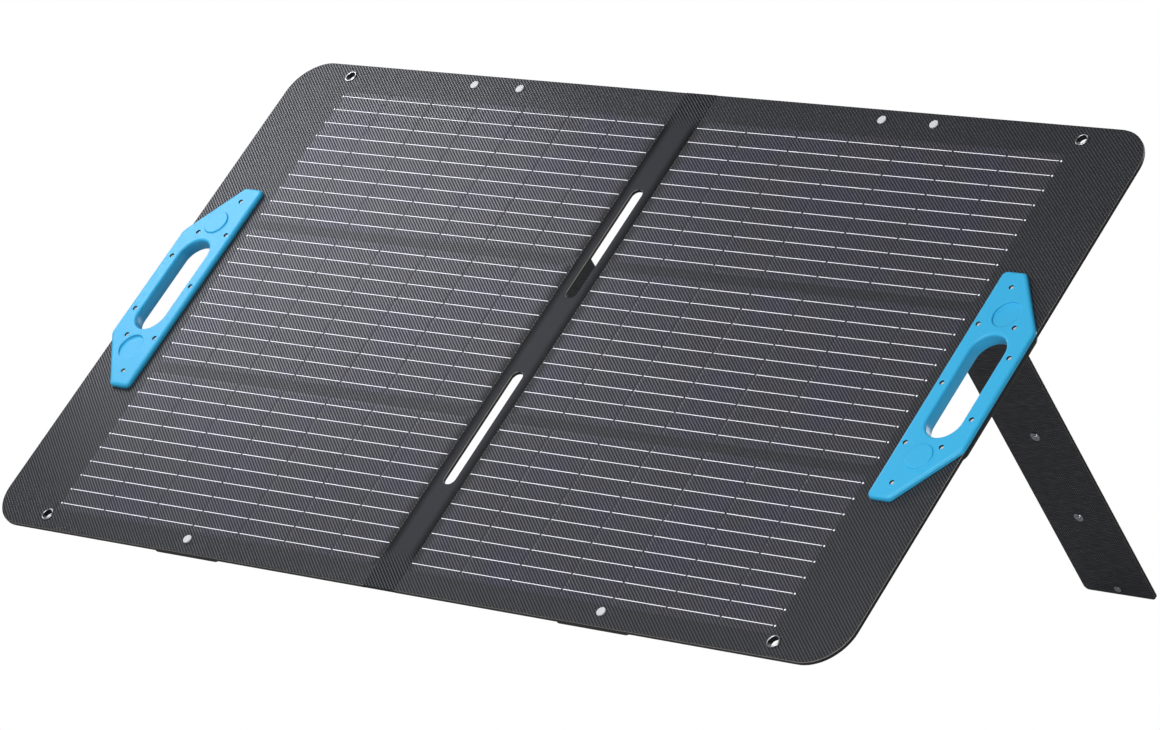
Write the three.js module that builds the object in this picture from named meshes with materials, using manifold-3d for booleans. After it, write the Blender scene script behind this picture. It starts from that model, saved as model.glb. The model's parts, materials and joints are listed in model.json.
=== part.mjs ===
// Folding solar panel on two kickstands, standing open.
// Millimetres, +Z up, X across the panel, front face towards -Y.
// Inside the stand group: x across, y up the slope from the bottom edge, z out of the front face.

import * as THREE from 'three';
import { mergeVertices } from 'three/addons/utils/BufferGeometryUtils.js';
import Module from 'manifold-3d';

const wasm = await Module();
wasm.setup();

// ---- Driving dimensions ----
const panelWidth = 1140;          // both halves, open
const panelHeight = 627;
const cornerRadius = 43;
const tiltDegrees = 49.4;         // panel face above the ground
const fitGap = 0.3;               // between pieces that touch
const laminateThickness = 0.7;
const cellThickness = 0.3;
const boardThickness = 1.3;
const coverThickness = 0.8;

const foldStripHalf = 20;         // each half of the folding strip
const foldLineGap = 0.4;
const foldSlotWidth = 14.5;
const foldSlotLength = 140;
const foldSlotCentre = 117;       // from mid height, up and down

const cellWidth = 65.7;           // seven columns in each half
const cellColumns = 7;
const cellHeight = 182;
const cellRowPitch = 193.3;
const cellFieldDrop = 5.5;        // the cell field sits this far below mid height
const cellFieldInset = 1.5;
const ribbonWidth = 4;
const ribbonOffset = 3;

const handleWidth = 74.5;
const handleOverhang = 1.5;       // beyond the panel's side
const handleHalfLength = 133.5;
const handleGripHalf = 70;        // straight outer side
const handleEndFlat = 26.5;
const handleProud = 5.5;
const handleCorner = 6;
const handleBackThickness = 4.5;
const handleBackInset = 3;
const fingerSlotOffset = 35.8;    // slot centre from the handle's inner side
const fingerSlotWidth = 40;
const fingerSlotLength = 120;
const collarWall = 2.5;
const screwHoleRadius = 1.75;
const screwHoleDepth = 2.4;
const screwHoles = [[8, 0], [8, 70], [8, -70], [20, 115], [20, -115], [50.3, 70], [50.3, -70],
  [64.6, 36], [64.6, -36]];       // from the inner side, from mid height
const bossOffset = 33;            // magnet boss centre from the inner side
const bossHeight = 84;            // and from mid height
const bossRadius = 14.2;
const bossClearance = 0.7;
const bossProud = 1.5;
const recessDepth = 2;
const magnetRadius = 10;
const magnetThickness = 1.6;
const magnetClearance = 0.5;

const eyeletSide = 80;            // from the panel's side
const eyeletInset = 16.5;         // from the top and bottom edges
const eyeletBore = 5;             // radius
const eyeletWall = 0.8;
const eyeletFlange = 1.4;         // flange beyond the tube
const eyeletFlangeThickness = 0.8;
const eyeletClearance = 0.5;

const legCentreX = 274.8;
const legWidth = 92;
const legThickness = 3.5;
const legReach = 593.6;           // hinge axis to foot
const legHingeDrop = 62.3;        // hinge axis below the top edge
const legTopGap = 3;
const legStowClearance = 0.95;    // stowed leg behind the bottom rivet's tail
const legFootRadius = 6;
const legTabHeight = 55;          // riveted tab above the hinge
const legTabThickness = 3.4;
const legTabGap = 2;
const bottomTabHeight = 50;
const bottomTabThickness = 2.8;
const tabCorner = 4;

const rivetShaft = 2.25;          // radii
const rivetHead = 4.75;
const rivetTail = 4;
const rivetHeadThickness = 1.2;
const rivetTailThickness = 0.9;
const rivetClearance = 0.3;
const topRivetInset = 13.5;       // from the top edge
const topRivetSpacing = 65.2;
const topRivetShift = 1.1;        // pair's middle beyond the leg's middle
const bottomRivetInset = 16;
const bottomRivetX = 280;

const snapReaches = { upper: 367.5, middle: 481.1, stay: 193.6 };   // along the leg
const footStudReach = 585;
const snapDisc = 5.5;             // radii
const snapShaft = 2;
const snapCap = 6;
const snapDiscThickness = 1.3;
const snapCapThickness = 1;
const studDome = 4;

const strapWidth = 25;
const strapThickness = 1.4;
const strapSewnLow = 27;          // sewn to the bottom tab from here
const strapSewnHigh = 49;
const strapEndHalf = 14;          // flat end either side of the stay snap

const boxCentreX = -130;
const boxDrop = 127;              // box middle below the top edge
const boxWidth = 96;
const boxHeight = 60;
const boxWall = 2;
const boxCorner = 6;
const lidThickness = 2.5;
const diodeBoardMargin = 4;
const diodeBoardThickness = 1.6;
const diodeBoardStandoff = 1.5;
const socketOuter = 5.5;          // radii
const socketBore = 4;
const socketFlange = 7;
const socketMargin = 1;           // box depth beyond the flange, each way
const socketFlangeThickness = 2;
const socketBoreDepth = 11;
const socketBackWall = 1.5;

// ---- Worked out from them ----
const tilt = THREE.MathUtils.degToRad(tiltDegrees);
const halfWidth = panelWidth / 2;
const midHeight = panelHeight / 2;
const cellFront = -laminateThickness - fitGap;
const boardFront = cellFront - cellThickness - fitGap;
const coverFront = boardFront - boardThickness - fitGap;
const panelBack = coverFront - coverThickness;
const tabFront = panelBack - fitGap;
const legTabBack = tabFront - legTabThickness;
const bottomTabBack = tabFront - bottomTabThickness;
const laminateInner = foldStripHalf + fitGap;
const handleInnerX = halfWidth + handleOverhang - handleWidth;
const eyeletX = halfWidth - eyeletSide;
const legHingeHeight = panelHeight - legHingeDrop;
const boxCentreY = panelHeight - boxDrop;
const fingerSlotX = handleInnerX + fingerSlotOffset;
const collarHalf = fingerSlotWidth / 2 + collarWall;
const eyeletTube = eyeletBore + eyeletWall;
const cellFieldInner = laminateInner + cellFieldInset;
const legHingeDepth = tabFront - legTabThickness / 2;
const bottomTail = bottomTabBack - fitGap - rivetTailThickness;
const legFront = bottomTail - legStowClearance - legHingeDepth;
const legBack = legFront - legThickness;
const topRivets = [-1, 1].map((end) => legCentreX + topRivetShift + end * topRivetSpacing / 2);
const boxDepth = 2 * (socketFlange + socketMargin);
const holeSides = 6;              // curve steps: a circle gets twice as many sides

// The feet and the bottom tabs stand on one level: the leg's angle follows from that.
const groundLevel = bottomTabBack * Math.cos(tilt);
const hingeAboveGround = legHingeHeight * Math.sin(tilt) + legHingeDepth * Math.cos(tilt) - groundLevel;
const footRadius = Math.hypot(legReach, legFront);
const legSwing = Math.PI - Math.asin(hingeAboveGround / footRadius)
  - Math.atan2(-legFront, legReach) - tilt;

// ---- Materials ----
const paint = (color, roughness, metalness = 0) =>
  new THREE.MeshStandardMaterial({ color, roughness, metalness });
const laminate = paint(0x3d3e44, 0.55);
const silicon = paint(0x2b2a38, 0.3);
const ribbonTin = paint(0xc9c8d4, 0.35, 0.8);
const glassFibre = paint(0x4b5046, 0.7);
const backCloth = paint(0x1d1f22, 0.9);
const foldCloth = paint(0x3c3e42, 0.8);
const legCloth = paint(0x16181a, 0.85);
const bluePlastic = paint(0x4abdf2, 0.4);
const blackPlastic = paint(0x17181a, 0.5);
const steel = paint(0xc8ccd0, 0.25, 1);
const magnetSteel = paint(0x8a8d90, 0.35, 1);
const webbing = paint(0x141517, 0.9);
const circuitGreen = paint(0x1f4a33, 0.6);

// ---- Geometry helpers ----
function toSolid(geometry) {
  const bare = geometry.clone();
  bare.deleteAttribute('normal');
  bare.deleteAttribute('uv');
  const merged = mergeVertices(bare, 1e-4);
  return new wasm.Manifold(new wasm.Mesh({
    numProp: 3,
    vertProperties: new Float32Array(merged.attributes.position.array),
    triVerts: new Uint32Array(merged.index.array),
  }));
}

function toGeometry(solid) {
  const mesh = solid.getMesh();
  const geometry = new THREE.BufferGeometry();
  geometry.setAttribute('position', new THREE.BufferAttribute(new Float32Array(mesh.vertProperties), 3));
  geometry.setIndex(new THREE.BufferAttribute(new Uint32Array(mesh.triVerts), 1));
  return geometry.toNonIndexed();
}

// Base with added and cut geometries, in that order.
function carve(base, added, cut) {
  let solid = toSolid(base);
  for (const geometry of added) solid = solid.add(toSolid(geometry));
  for (const geometry of cut) solid = solid.subtract(toSolid(geometry));
  return toGeometry(solid);
}

// Outline through corners [x, y, radius], each rounded with a true arc.
function roundedOutline(corners) {
  const shape = new THREE.Shape();
  corners.forEach(([x, y, radius], index) => {
    const corner = new THREE.Vector2(x, y);
    const count = corners.length;
    const [beforeX, beforeY] = corners[(index + count - 1) % count];
    const [afterX, afterY] = corners[(index + 1) % count];
    const back = new THREE.Vector2(beforeX, beforeY).sub(corner).normalize();
    const ahead = new THREE.Vector2(afterX, afterY).sub(corner).normalize();
    const halfAngle = Math.acos(THREE.MathUtils.clamp(back.dot(ahead), -1, 1)) / 2;
    const reach = radius / Math.tan(halfAngle);
    const start = corner.clone().addScaledVector(back, reach);
    const end = corner.clone().addScaledVector(ahead, reach);
    if (index === 0) shape.moveTo(start.x, start.y);
    else shape.lineTo(start.x, start.y);
    if (radius === 0) return;
    const centre = back.clone().add(ahead).normalize()
      .multiplyScalar(radius / Math.sin(halfAngle)).add(corner);
    const startAngle = Math.atan2(start.y - centre.y, start.x - centre.x);
    const endAngle = Math.atan2(end.y - centre.y, end.x - centre.x);
    shape.absarc(centre.x, centre.y, radius, startAngle, endAngle, back.cross(ahead) > 0);
  });
  shape.closePath();
  return shape;
}

const mirrored = (side, corners) => corners.map(([x, y, radius]) => [side * x, y, radius]);

function boxOutline(x, y, width, height, radius) {
  return roundedOutline([
    [x - width / 2, y - height / 2, radius], [x + width / 2, y - height / 2, radius],
    [x + width / 2, y + height / 2, radius], [x - width / 2, y + height / 2, radius],
  ]);
}

function circleHole(x, y, radius) {
  return new THREE.Path().absarc(x, y, radius, 0, 2 * Math.PI, false);
}

// Slot with full round ends, along y.
function slotPath(PathClass, x, y, width, length) {
  const radius = width / 2;
  const rise = length / 2 - radius;
  const path = new PathClass();
  path.absarc(x, y + rise, radius, 0, Math.PI, false);
  path.absarc(x, y - rise, radius, Math.PI, 2 * Math.PI, false);
  path.closePath();
  return path;
}

function plate(shape, back, front, curveSegments = holeSides) {
  const geometry = new THREE.ExtrudeGeometry(shape, { depth: front - back, bevelEnabled: false, curveSegments });
  return geometry.translate(0, 0, back);
}

// Solid of revolution about an axis along z at (x, y); profile of [radius, z] from back to front.
function turned(profile, x, y, sides) {
  const points = profile.map(([radius, z]) => new THREE.Vector2(radius, z));
  return new THREE.LatheGeometry(points, sides).rotateX(Math.PI / 2).translate(x, y, 0);
}

function cylinderBetween(x, y, radius, back, front, sides = 24) {
  return turned([[0, back], [radius, back], [radius, front], [0, front]], x, y, sides);
}

// Constant-thickness band along a path of [y, z], extruded across x.
function bandAcross(path, thickness, x, width) {
  const points = path.map(([y, z]) => new THREE.Vector2(y, z));
  const offsets = points.map((point, index) => {
    const before = points[Math.max(index - 1, 0)];
    const after = points[Math.min(index + 1, points.length - 1)];
    const into = point.clone().sub(before);
    const out = after.clone().sub(point);
    const first = (into.length() > 0 ? into : out).clone().normalize();
    const second = (out.length() > 0 ? out : into).clone().normalize();
    const bisector = first.clone().add(second).normalize();
    const stretch = 1 / bisector.dot(first);
    return new THREE.Vector2(-bisector.y, bisector.x).multiplyScalar(stretch * thickness / 2);
  });
  const upper = points.map((point, index) => point.clone().add(offsets[index]));
  const lower = points.map((point, index) => point.clone().sub(offsets[index])).reverse();
  const geometry = new THREE.ExtrudeGeometry(new THREE.Shape([...upper, ...lower]),
    { depth: width, bevelEnabled: false });
  const acrossX = new THREE.Matrix4().makeBasis(
    new THREE.Vector3(0, 1, 0), new THREE.Vector3(0, 0, 1), new THREE.Vector3(1, 0, 0));
  return geometry.applyMatrix4(acrossX).translate(x - width / 2, 0, 0);
}

function addPiece(parent, name, geometry, material) {
  const mesh = new THREE.Mesh(geometry, material);
  mesh.name = name;
  parent.add(mesh);
}

// ---- Panel layers ----
function panelOutline(side, innerX, inset) {
  const outer = halfWidth - inset;
  const top = panelHeight - inset;
  const radius = cornerRadius - inset;
  return roundedOutline(mirrored(side, [
    [innerX, inset, 0], [outer, inset, radius], [outer, top, radius], [innerX, top, 0],
  ]));
}

function fixingHoles(side) {
  const holes = [slotPath(THREE.Path, side * fingerSlotX, midHeight,
    2 * (collarHalf + fitGap), fingerSlotLength + 2 * (collarWall + fitGap))];
  const eyeletHole = eyeletTube + eyeletClearance;
  const rivetHole = rivetShaft + rivetClearance;
  for (const y of [eyeletInset, panelHeight - eyeletInset]) holes.push(circleHole(side * eyeletX, y, eyeletHole));
  for (const x of topRivets) holes.push(circleHole(side * x, panelHeight - topRivetInset, rivetHole));
  holes.push(circleHole(side * bottomRivetX, bottomRivetInset, rivetHole));
  return holes;
}

function panelLayer(side, back, front) {
  const shape = panelOutline(side, laminateInner, 0);
  shape.holes = fixingHoles(side);
  return plate(shape, back, front);
}

function addPanelLayers(half, side, sideName) {
  addPiece(half, `front_laminate_${sideName}`, panelLayer(side, -laminateThickness, 0), laminate);
  addPiece(half, `stiffener_board_${sideName}`, panelLayer(side, boardFront - boardThickness, boardFront),
    glassFibre);
  addPiece(half, `back_cover_${sideName}`, panelLayer(side, panelBack, coverFront), backCloth);

  const fieldWidth = cellColumns * cellWidth;
  const fieldX = side * (cellFieldInner + fieldWidth / 2);
  const fieldMiddle = midHeight - cellFieldDrop;
  ['lower', 'middle', 'upper'].forEach((rowName, row) => {
    const rowShape = boxOutline(fieldX, fieldMiddle + (row - 1) * cellRowPitch, fieldWidth, cellHeight, 0);
    addPiece(half, `cell_row_${rowName}_${sideName}`, plate(rowShape, cellFront - cellThickness, cellFront),
      silicon);
  });
  const ribbonX = side * (cellFieldInner + fieldWidth + ribbonOffset + ribbonWidth / 2);
  const ribbonLength = 2 * cellRowPitch + cellHeight;
  addPiece(half, `bus_ribbon_${sideName}`,
    plate(boxOutline(ribbonX, fieldMiddle, ribbonWidth, ribbonLength, 0), cellFront - cellThickness, cellFront),
    ribbonTin);
}

// Half of the flexible strip between the halves, with half of each slot.
function addFoldStrip(half, side, sideName) {
  const strip = plate(roundedOutline(mirrored(side, [
    [foldLineGap, 0, 0], [foldStripHalf, 0, 0], [foldStripHalf, panelHeight, 0], [foldLineGap, panelHeight, 0],
  ])), panelBack, 0);
  const slots = [-1, 1].map((end) => plate(
    slotPath(THREE.Shape, 0, midHeight + end * foldSlotCentre, foldSlotWidth, foldSlotLength),
    panelBack - 1, 1));
  addPiece(half, `fold_strip_${sideName}`, carve(strip, [], slots), foldCloth);
}

// ---- Handles ----
function handleOutline(side, inset, radius) {
  const inner = handleInnerX + inset;
  const outer = handleInnerX + handleWidth - inset;
  const flat = handleInnerX + handleEndFlat - inset / 2;
  const end = handleHalfLength - inset;
  const grip = handleGripHalf - inset / 2;
  return roundedOutline(mirrored(side, [
    [inner, midHeight - end, radius], [flat, midHeight - end, radius], [outer, midHeight - grip, radius],
    [outer, midHeight + grip, radius], [flat, midHeight + end, radius], [inner, midHeight + end, radius],
  ]));
}

function addHandle(half, side, sideName) {
  const slotX = side * fingerSlotX;
  const backPlateBack = tabFront - handleBackThickness;
  const collarShape = slotPath(THREE.Shape, slotX, midHeight, 2 * collarHalf, fingerSlotLength + 2 * collarWall);
  const slotShape = slotPath(THREE.Shape, slotX, midHeight, fingerSlotWidth, fingerSlotLength);
  const bossX = side * (handleInnerX + bossOffset);
  const pocketDepth = fitGap + magnetThickness + 2 * fitGap;
  const added = [plate(collarShape, backPlateBack, handleProud - 1)];
  const cut = [plate(slotShape, backPlateBack - 1, handleProud + 1)];
  for (const end of [-1, 1]) {
    const bossY = midHeight + end * bossHeight;
    const raised = end === -side;      // so that a raised boss meets a recess when folded
    if (raised) added.push(cylinderBetween(bossX, bossY, bossRadius, handleProud - 1, handleProud + bossProud));
    else cut.push(cylinderBetween(bossX, bossY, bossRadius + bossClearance, handleProud - recessDepth,
      handleProud + 1));
    cut.push(cylinderBetween(bossX, bossY, magnetRadius + magnetClearance, 0, pocketDepth, 16));
    addPiece(half, `handle_magnet_${end > 0 ? 'upper' : 'lower'}_${sideName}`,
      cylinderBetween(bossX, bossY, magnetRadius, 2 * fitGap, 2 * fitGap + magnetThickness, 16), magnetSteel);
  }
  for (const [x, y] of screwHoles) {
    cut.push(cylinderBetween(side * (handleInnerX + x), midHeight + y, screwHoleRadius,
      handleProud - screwHoleDepth, handleProud + 1, 10));
  }
  const shell = plate(handleOutline(side, 0, handleCorner), fitGap, handleProud, 3);
  addPiece(half, `handle_front_${sideName}`, carve(shell, added, cut), bluePlastic);

  const backShape = handleOutline(side, handleBackInset, handleCorner);
  backShape.holes = [slotPath(THREE.Path, slotX, midHeight, 2 * (collarHalf + fitGap),
    fingerSlotLength + 2 * (collarWall + fitGap))];
  addPiece(half, `handle_back_${sideName}`, plate(backShape, backPlateBack, tabFront), blackPlastic);
}

// ---- Eyelets and rivets ----
function addEyelets(half, side, sideName) {
  const flangeFront = fitGap + eyeletFlangeThickness;
  const flangeBack = tabFront - eyeletFlangeThickness;
  const flange = eyeletTube + eyeletFlange;
  const profile = [[eyeletBore, flangeBack], [flange, flangeBack], [flange, tabFront], [eyeletTube, tabFront],
    [eyeletTube, fitGap], [flange, fitGap], [flange, flangeFront], [eyeletBore, flangeFront],
    [eyeletBore, flangeBack]];
  for (const [endName, y] of [['lower', eyeletInset], ['upper', panelHeight - eyeletInset]]) {
    addPiece(half, `eyelet_${endName}_${sideName}`, turned(profile, side * eyeletX, y, 20), steel);
  }
}

function rivet(x, y, seatBack) {
  const front = fitGap + rivetHeadThickness;
  const back = seatBack - fitGap - rivetTailThickness;
  return turned([[0, back], [rivetTail, back], [rivetTail, seatBack - fitGap], [rivetShaft, seatBack - fitGap],
    [rivetShaft, fitGap], [rivetHead, fitGap], [rivetHead, front - 0.4], [rivetHead - 1, front], [0, front]],
  x, y, 12);
}

function addRivets(half, side, sideName) {
  topRivets.forEach((x, index) => {
    addPiece(half, `rivet_top_${index ? 'outer' : 'inner'}_${sideName}`,
      rivet(side * x, panelHeight - topRivetInset, legTabBack), steel);
  });
  addPiece(half, `rivet_bottom_${sideName}`, rivet(side * bottomRivetX, bottomRivetInset, bottomTabBack), steel);
}

function addTabs(half, side, sideName) {
  const rivetHole = rivetShaft + rivetClearance;
  const legTab = boxOutline(side * legCentreX, legHingeHeight + legTabGap + legTabHeight / 2, legWidth,
    legTabHeight, tabCorner);
  legTab.holes = topRivets.map((x) => circleHole(side * x, panelHeight - topRivetInset, rivetHole));
  addPiece(half, `leg_tab_${sideName}`, plate(legTab, legTabBack, tabFront), legCloth);
  const bottomTab = boxOutline(side * legCentreX, bottomTabHeight / 2, legWidth, bottomTabHeight, tabCorner);
  bottomTab.holes = [circleHole(side * bottomRivetX, bottomRivetInset, rivetHole)];
  addPiece(half, `bottom_tab_${sideName}`, plate(bottomTab, bottomTabBack, tabFront), legCloth);
}

// ---- Legs: inside a leg group, y runs up to the hinge axis and z points at the panel when stowed ----
function snap(x, y) {
  const discFront = legFront + fitGap + snapDiscThickness;
  const capBack = legBack - fitGap - snapCapThickness;
  return turned([[0, capBack], [snapCap, capBack], [snapCap, legBack - fitGap], [snapShaft, legBack - fitGap],
    [snapShaft, legFront + fitGap], [snapDisc, legFront + fitGap], [snapDisc, discFront], [0, discFront]],
  x, y, 12);
}

function footStud(x, y) {
  const seat = legFront + fitGap;
  const capBack = legBack - fitGap - snapCapThickness;
  return turned([[0, capBack], [studDome, capBack], [studDome, legBack - fitGap], [snapShaft, legBack - fitGap],
    [snapShaft, seat], [studDome, seat], [studDome, seat + 0.6], [studDome * 0.6, seat + 1.8],
    [0, seat + 2.2]], x, y, 12);
}

function addLeg(stand, side, sideName) {
  const leg = new THREE.Group();
  leg.position.set(side * legCentreX, legHingeHeight, legHingeDepth);
  leg.rotation.x = legSwing;
  stand.add(leg);

  const left = -legWidth / 2;
  const right = legWidth / 2;
  const board = roundedOutline([
    [left, -legReach, legFootRadius], [right, -legReach, legFootRadius],
    [right, -legTopGap, tabCorner], [left, -legTopGap, tabCorner],
  ]);
  const fasteners = [...Object.values(snapReaches), footStudReach];
  board.holes = fasteners.map((reach) => circleHole(0, -reach, snapShaft + rivetClearance));
  addPiece(leg, `leg_${sideName}`, plate(board, legBack, legFront), legCloth);
  for (const [snapName, reach] of Object.entries(snapReaches)) {
    addPiece(leg, `leg_snap_${snapName}_${sideName}`, snap(0, -reach), steel);
  }
  addPiece(leg, `foot_stud_${sideName}`, footStud(0, -footStudReach), steel);

  const strapBack = legFront + fitGap + snapDiscThickness + fitGap;
  const capSeat = strapBack + strapThickness + fitGap;
  addPiece(leg, `stay_snap_cap_${sideName}`,
    cylinderBetween(0, -snapReaches.stay, snapCap, capSeat, capSeat + snapCapThickness, 12), steel);
  return strapBack + strapThickness / 2;
}

// Webbing stay from the bottom tab up to the leg: taut when the leg is open.
function addStay(half, side, sideName, strapMiddle) {
  const onLeg = (reach) => [
    legHingeHeight - reach * Math.cos(legSwing) - strapMiddle * Math.sin(legSwing),
    legHingeDepth - reach * Math.sin(legSwing) + strapMiddle * Math.cos(legSwing),
  ];
  const sewnDepth = bottomTabBack - fitGap - strapThickness / 2;
  const path = [[strapSewnLow, sewnDepth], [strapSewnHigh, sewnDepth],
    onLeg(snapReaches.stay - strapEndHalf), onLeg(snapReaches.stay + strapEndHalf)];
  addPiece(half, `stay_strap_${sideName}`, bandAcross(path, strapThickness, side * legCentreX, strapWidth),
    webbing);
}

// ---- Junction box on the back of the left half ----
function alongX(geometry, x, y, z) {
  return geometry.rotateZ(-Math.PI / 2).translate(x, y, z);
}

function addJunctionBox(half) {
  const boxBack = tabFront - boxDepth;
  const wallX = boxCentreX + boxWidth / 2;
  const middle = (tabFront + boxBack) / 2;
  const axisPoint = (radius, x) => new THREE.Vector2(radius, x);
  const cavity = plate(boxOutline(boxCentreX, boxCentreY, boxWidth - 2 * boxWall, boxHeight - 2 * boxWall,
    boxCorner - boxWall), boxBack - 1, tabFront - boxWall, 3);
  // The socket's barrel reaches in through the wall; its bore opens outwards along x.
  const barrelIn = socketBoreDepth + socketBackWall - socketFlangeThickness - boxWall - fitGap;
  const barrelStart = wallX - boxWall - barrelIn;
  const flangeStart = wallX + fitGap;
  const flangeEnd = flangeStart + socketFlangeThickness;
  const holeRadius = socketOuter + fitGap;
  const wallHole = alongX(new THREE.CylinderGeometry(holeRadius, holeRadius, 4 * boxWall, 16), wallX,
    boxCentreY, middle);
  const tray = plate(boxOutline(boxCentreX, boxCentreY, boxWidth, boxHeight, boxCorner), boxBack, tabFront, 3);
  addPiece(half, 'junction_box', carve(tray, [], [cavity, wallHole]), blackPlastic);
  addPiece(half, 'junction_box_lid', plate(boxOutline(boxCentreX, boxCentreY, boxWidth, boxHeight, boxCorner),
    boxBack - fitGap - lidThickness, boxBack - fitGap, 3), blackPlastic);
  const boardBackX = boxCentreX - barrelIn / 2;
  const boardSeat = tabFront - boxWall - diodeBoardStandoff;
  addPiece(half, 'bypass_diode_board', plate(boxOutline(boardBackX, boxCentreY,
    boxWidth - 2 * boxWall - 2 * diodeBoardMargin - barrelIn, boxHeight - 2 * boxWall - 2 * diodeBoardMargin, 0),
  boardSeat - diodeBoardThickness, boardSeat), circuitGreen);
  const profile = [axisPoint(0, barrelStart), axisPoint(socketOuter, barrelStart),
    axisPoint(socketOuter, flangeStart), axisPoint(socketFlange, flangeStart),
    axisPoint(socketFlange, flangeEnd), axisPoint(socketBore, flangeEnd),
    axisPoint(socketBore, barrelStart + socketBackWall), axisPoint(0, barrelStart + socketBackWall)];
  addPiece(half, 'output_socket', alongX(new THREE.LatheGeometry(profile, 16), 0, boxCentreY, middle),
    blackPlastic);
}

// ---- Assembly ----
const stand = new THREE.Group();
stand.rotation.x = tilt;
for (const [side, sideName] of [[-1, 'left'], [1, 'right']]) {
  addPanelLayers(stand, side, sideName);
  addFoldStrip(stand, side, sideName);
  addHandle(stand, side, sideName);
  addEyelets(stand, side, sideName);
  addRivets(stand, side, sideName);
  addTabs(stand, side, sideName);
  const strapMiddle = addLeg(stand, side, sideName);
  addStay(stand, side, sideName, strapMiddle);
}
addJunctionBox(stand);

// Origin at the middle of the footprint, on the ground.
const group = new THREE.Group();
group.add(stand);
group.updateMatrixWorld(true);
const bounds = new THREE.Box3().setFromObject(group, true);
const middleOfBox = bounds.getCenter(new THREE.Vector3());
stand.position.set(-middleOfBox.x, -middleOfBox.y, -bounds.min.z);

export default group;
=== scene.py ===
# Folding solar panel standing on its two kickstands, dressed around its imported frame.
import json
import math

import bmesh
import bpy
import numpy as np
from mathutils import Matrix, Vector, geometry


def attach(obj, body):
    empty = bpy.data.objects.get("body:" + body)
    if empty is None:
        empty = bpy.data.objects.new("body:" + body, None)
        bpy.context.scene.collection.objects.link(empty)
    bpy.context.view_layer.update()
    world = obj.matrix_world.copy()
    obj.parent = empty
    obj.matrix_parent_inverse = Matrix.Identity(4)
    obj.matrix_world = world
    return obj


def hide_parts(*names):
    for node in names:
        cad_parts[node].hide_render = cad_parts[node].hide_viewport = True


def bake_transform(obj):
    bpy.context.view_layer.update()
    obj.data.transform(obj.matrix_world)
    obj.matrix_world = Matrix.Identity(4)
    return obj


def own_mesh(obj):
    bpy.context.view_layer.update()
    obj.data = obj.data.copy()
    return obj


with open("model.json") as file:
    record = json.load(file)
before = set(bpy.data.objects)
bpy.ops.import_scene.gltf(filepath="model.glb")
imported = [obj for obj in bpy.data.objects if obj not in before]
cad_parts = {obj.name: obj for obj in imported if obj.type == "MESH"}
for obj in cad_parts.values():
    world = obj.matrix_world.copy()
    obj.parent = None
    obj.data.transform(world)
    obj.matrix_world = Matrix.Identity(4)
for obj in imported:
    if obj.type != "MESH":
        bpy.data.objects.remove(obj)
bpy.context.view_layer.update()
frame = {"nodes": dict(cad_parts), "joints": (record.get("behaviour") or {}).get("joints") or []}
joints = {joint["name"]: joint for joint in frame["joints"]}
sides = (("left", -1), ("right", 1))
mm = 0.001


# The panel's own axes, in millimetres: x across from the fold, y up the slope from the bottom edge, z out
# of the front face.
panel = dict(height=627.0, halfWidth=570.0, corner=43.0, back=-4.0, foldAxisDepth=5.65)

acrossPanel = np.array([1.0, 0.0, 0.0])
upSlope = -np.array(joints["fold"]["axis"], float)
upSlope /= np.linalg.norm(upSlope)
outOfFace = np.cross(acrossPanel, upSlope)
panelOrigin = (np.array(joints["fold"]["pos_m"], float)
               - upSlope * panel["height"] / 2 * mm - outOfFace * panel["foldAxisDepth"] * mm)


# Millimetres on the panel's axes to metres in the frame.
def onPanel(points):
    points = np.asarray(points, float) * mm
    return panelOrigin + points @ np.array([acrossPanel, upSlope, outOfFace])


# The same for a leg: y runs up to its hinge, z points at the panel when it is stowed.
def onLeg(side):
    joint = joints[f"{side}_leg_fold"]
    swing = math.radians(joint["range_deg"][1])
    hinge = np.array(joint["pos_m"], float)
    alongLeg = upSlope * math.cos(swing) + outOfFace * math.sin(swing)
    offLeg = outOfFace * math.cos(swing) - upSlope * math.sin(swing)

    def place(points):
        return hinge + np.asarray(points, float) * mm @ np.array([acrossPanel, alongLeg, offLeg])
    return place


print("frame loaded:", len(frame["nodes"]), "nodes")


view = dict(place=(3.66609, -3.99677, 0.60651), azimuth=43.513, elevation=4.230, roll=3.574, lens=170.14)


def makeCamera():
    camera = bpy.data.cameras.new("camera")
    camera.lens = view["lens"]
    camera.sensor_width = 36
    camera.clip_end = 500
    rig = bpy.data.objects.new("camera", camera)
    bpy.context.scene.collection.objects.link(rig)
    turn = (Matrix.Rotation(math.radians(view["azimuth"]), 4, "Z")
            @ Matrix.Rotation(math.radians(90 - view["elevation"]), 4, "X")
            @ Matrix.Rotation(math.radians(view["roll"]), 4, "Z"))
    rig.matrix_world = Matrix.Translation(view["place"]) @ turn
    bpy.context.scene.camera = rig


# sRGB hex to the linear colour that the shaders want.
def tint(hexColour, alpha=1.0):
    channels = [int(hexColour[i:i + 2], 16) / 255 for i in (1, 3, 5)]
    return tuple(c / 12.92 if c <= 0.04045 else ((c + 0.055) / 1.055) ** 2.4 for c in channels) + (alpha,)


lighting = dict(
    world=0.11, backdrop=1.0,
    softboxes=[  # place, aim, width, height, watts, colour
        ((-1.23, -0.28, 1.06), (-0.5, -0.1, 0.34), 0.45, 0.65, 6.4, "#f6f7ff"),
        ((-0.4, -2.9, 2.2), (0.0, -0.2, 0.25), 1.3, 1.2, 55, "#ffffff"),
        ((0.25, -2.4, 1.9), (0.4, -0.2, 0.25), 0.8, 0.8, 7, "#ffffff"),
        ((1.2, -0.8, 0.1), (0.32, 0.25, 0.25), 0.3, 0.16, 2.9, "#ffffff"),
        ((0.3, 2.8, 0.6), (0.0, 0.1, 0.25), 1.4, 0.7, 24, "#ffffff"),
    ],
    sunTurn=(42, 0, -4), sunStrength=0.4, sunAngle=30,
    floorSpan=160, floorGlow=0.12, floorColour="#a6a6a6",
)


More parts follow.
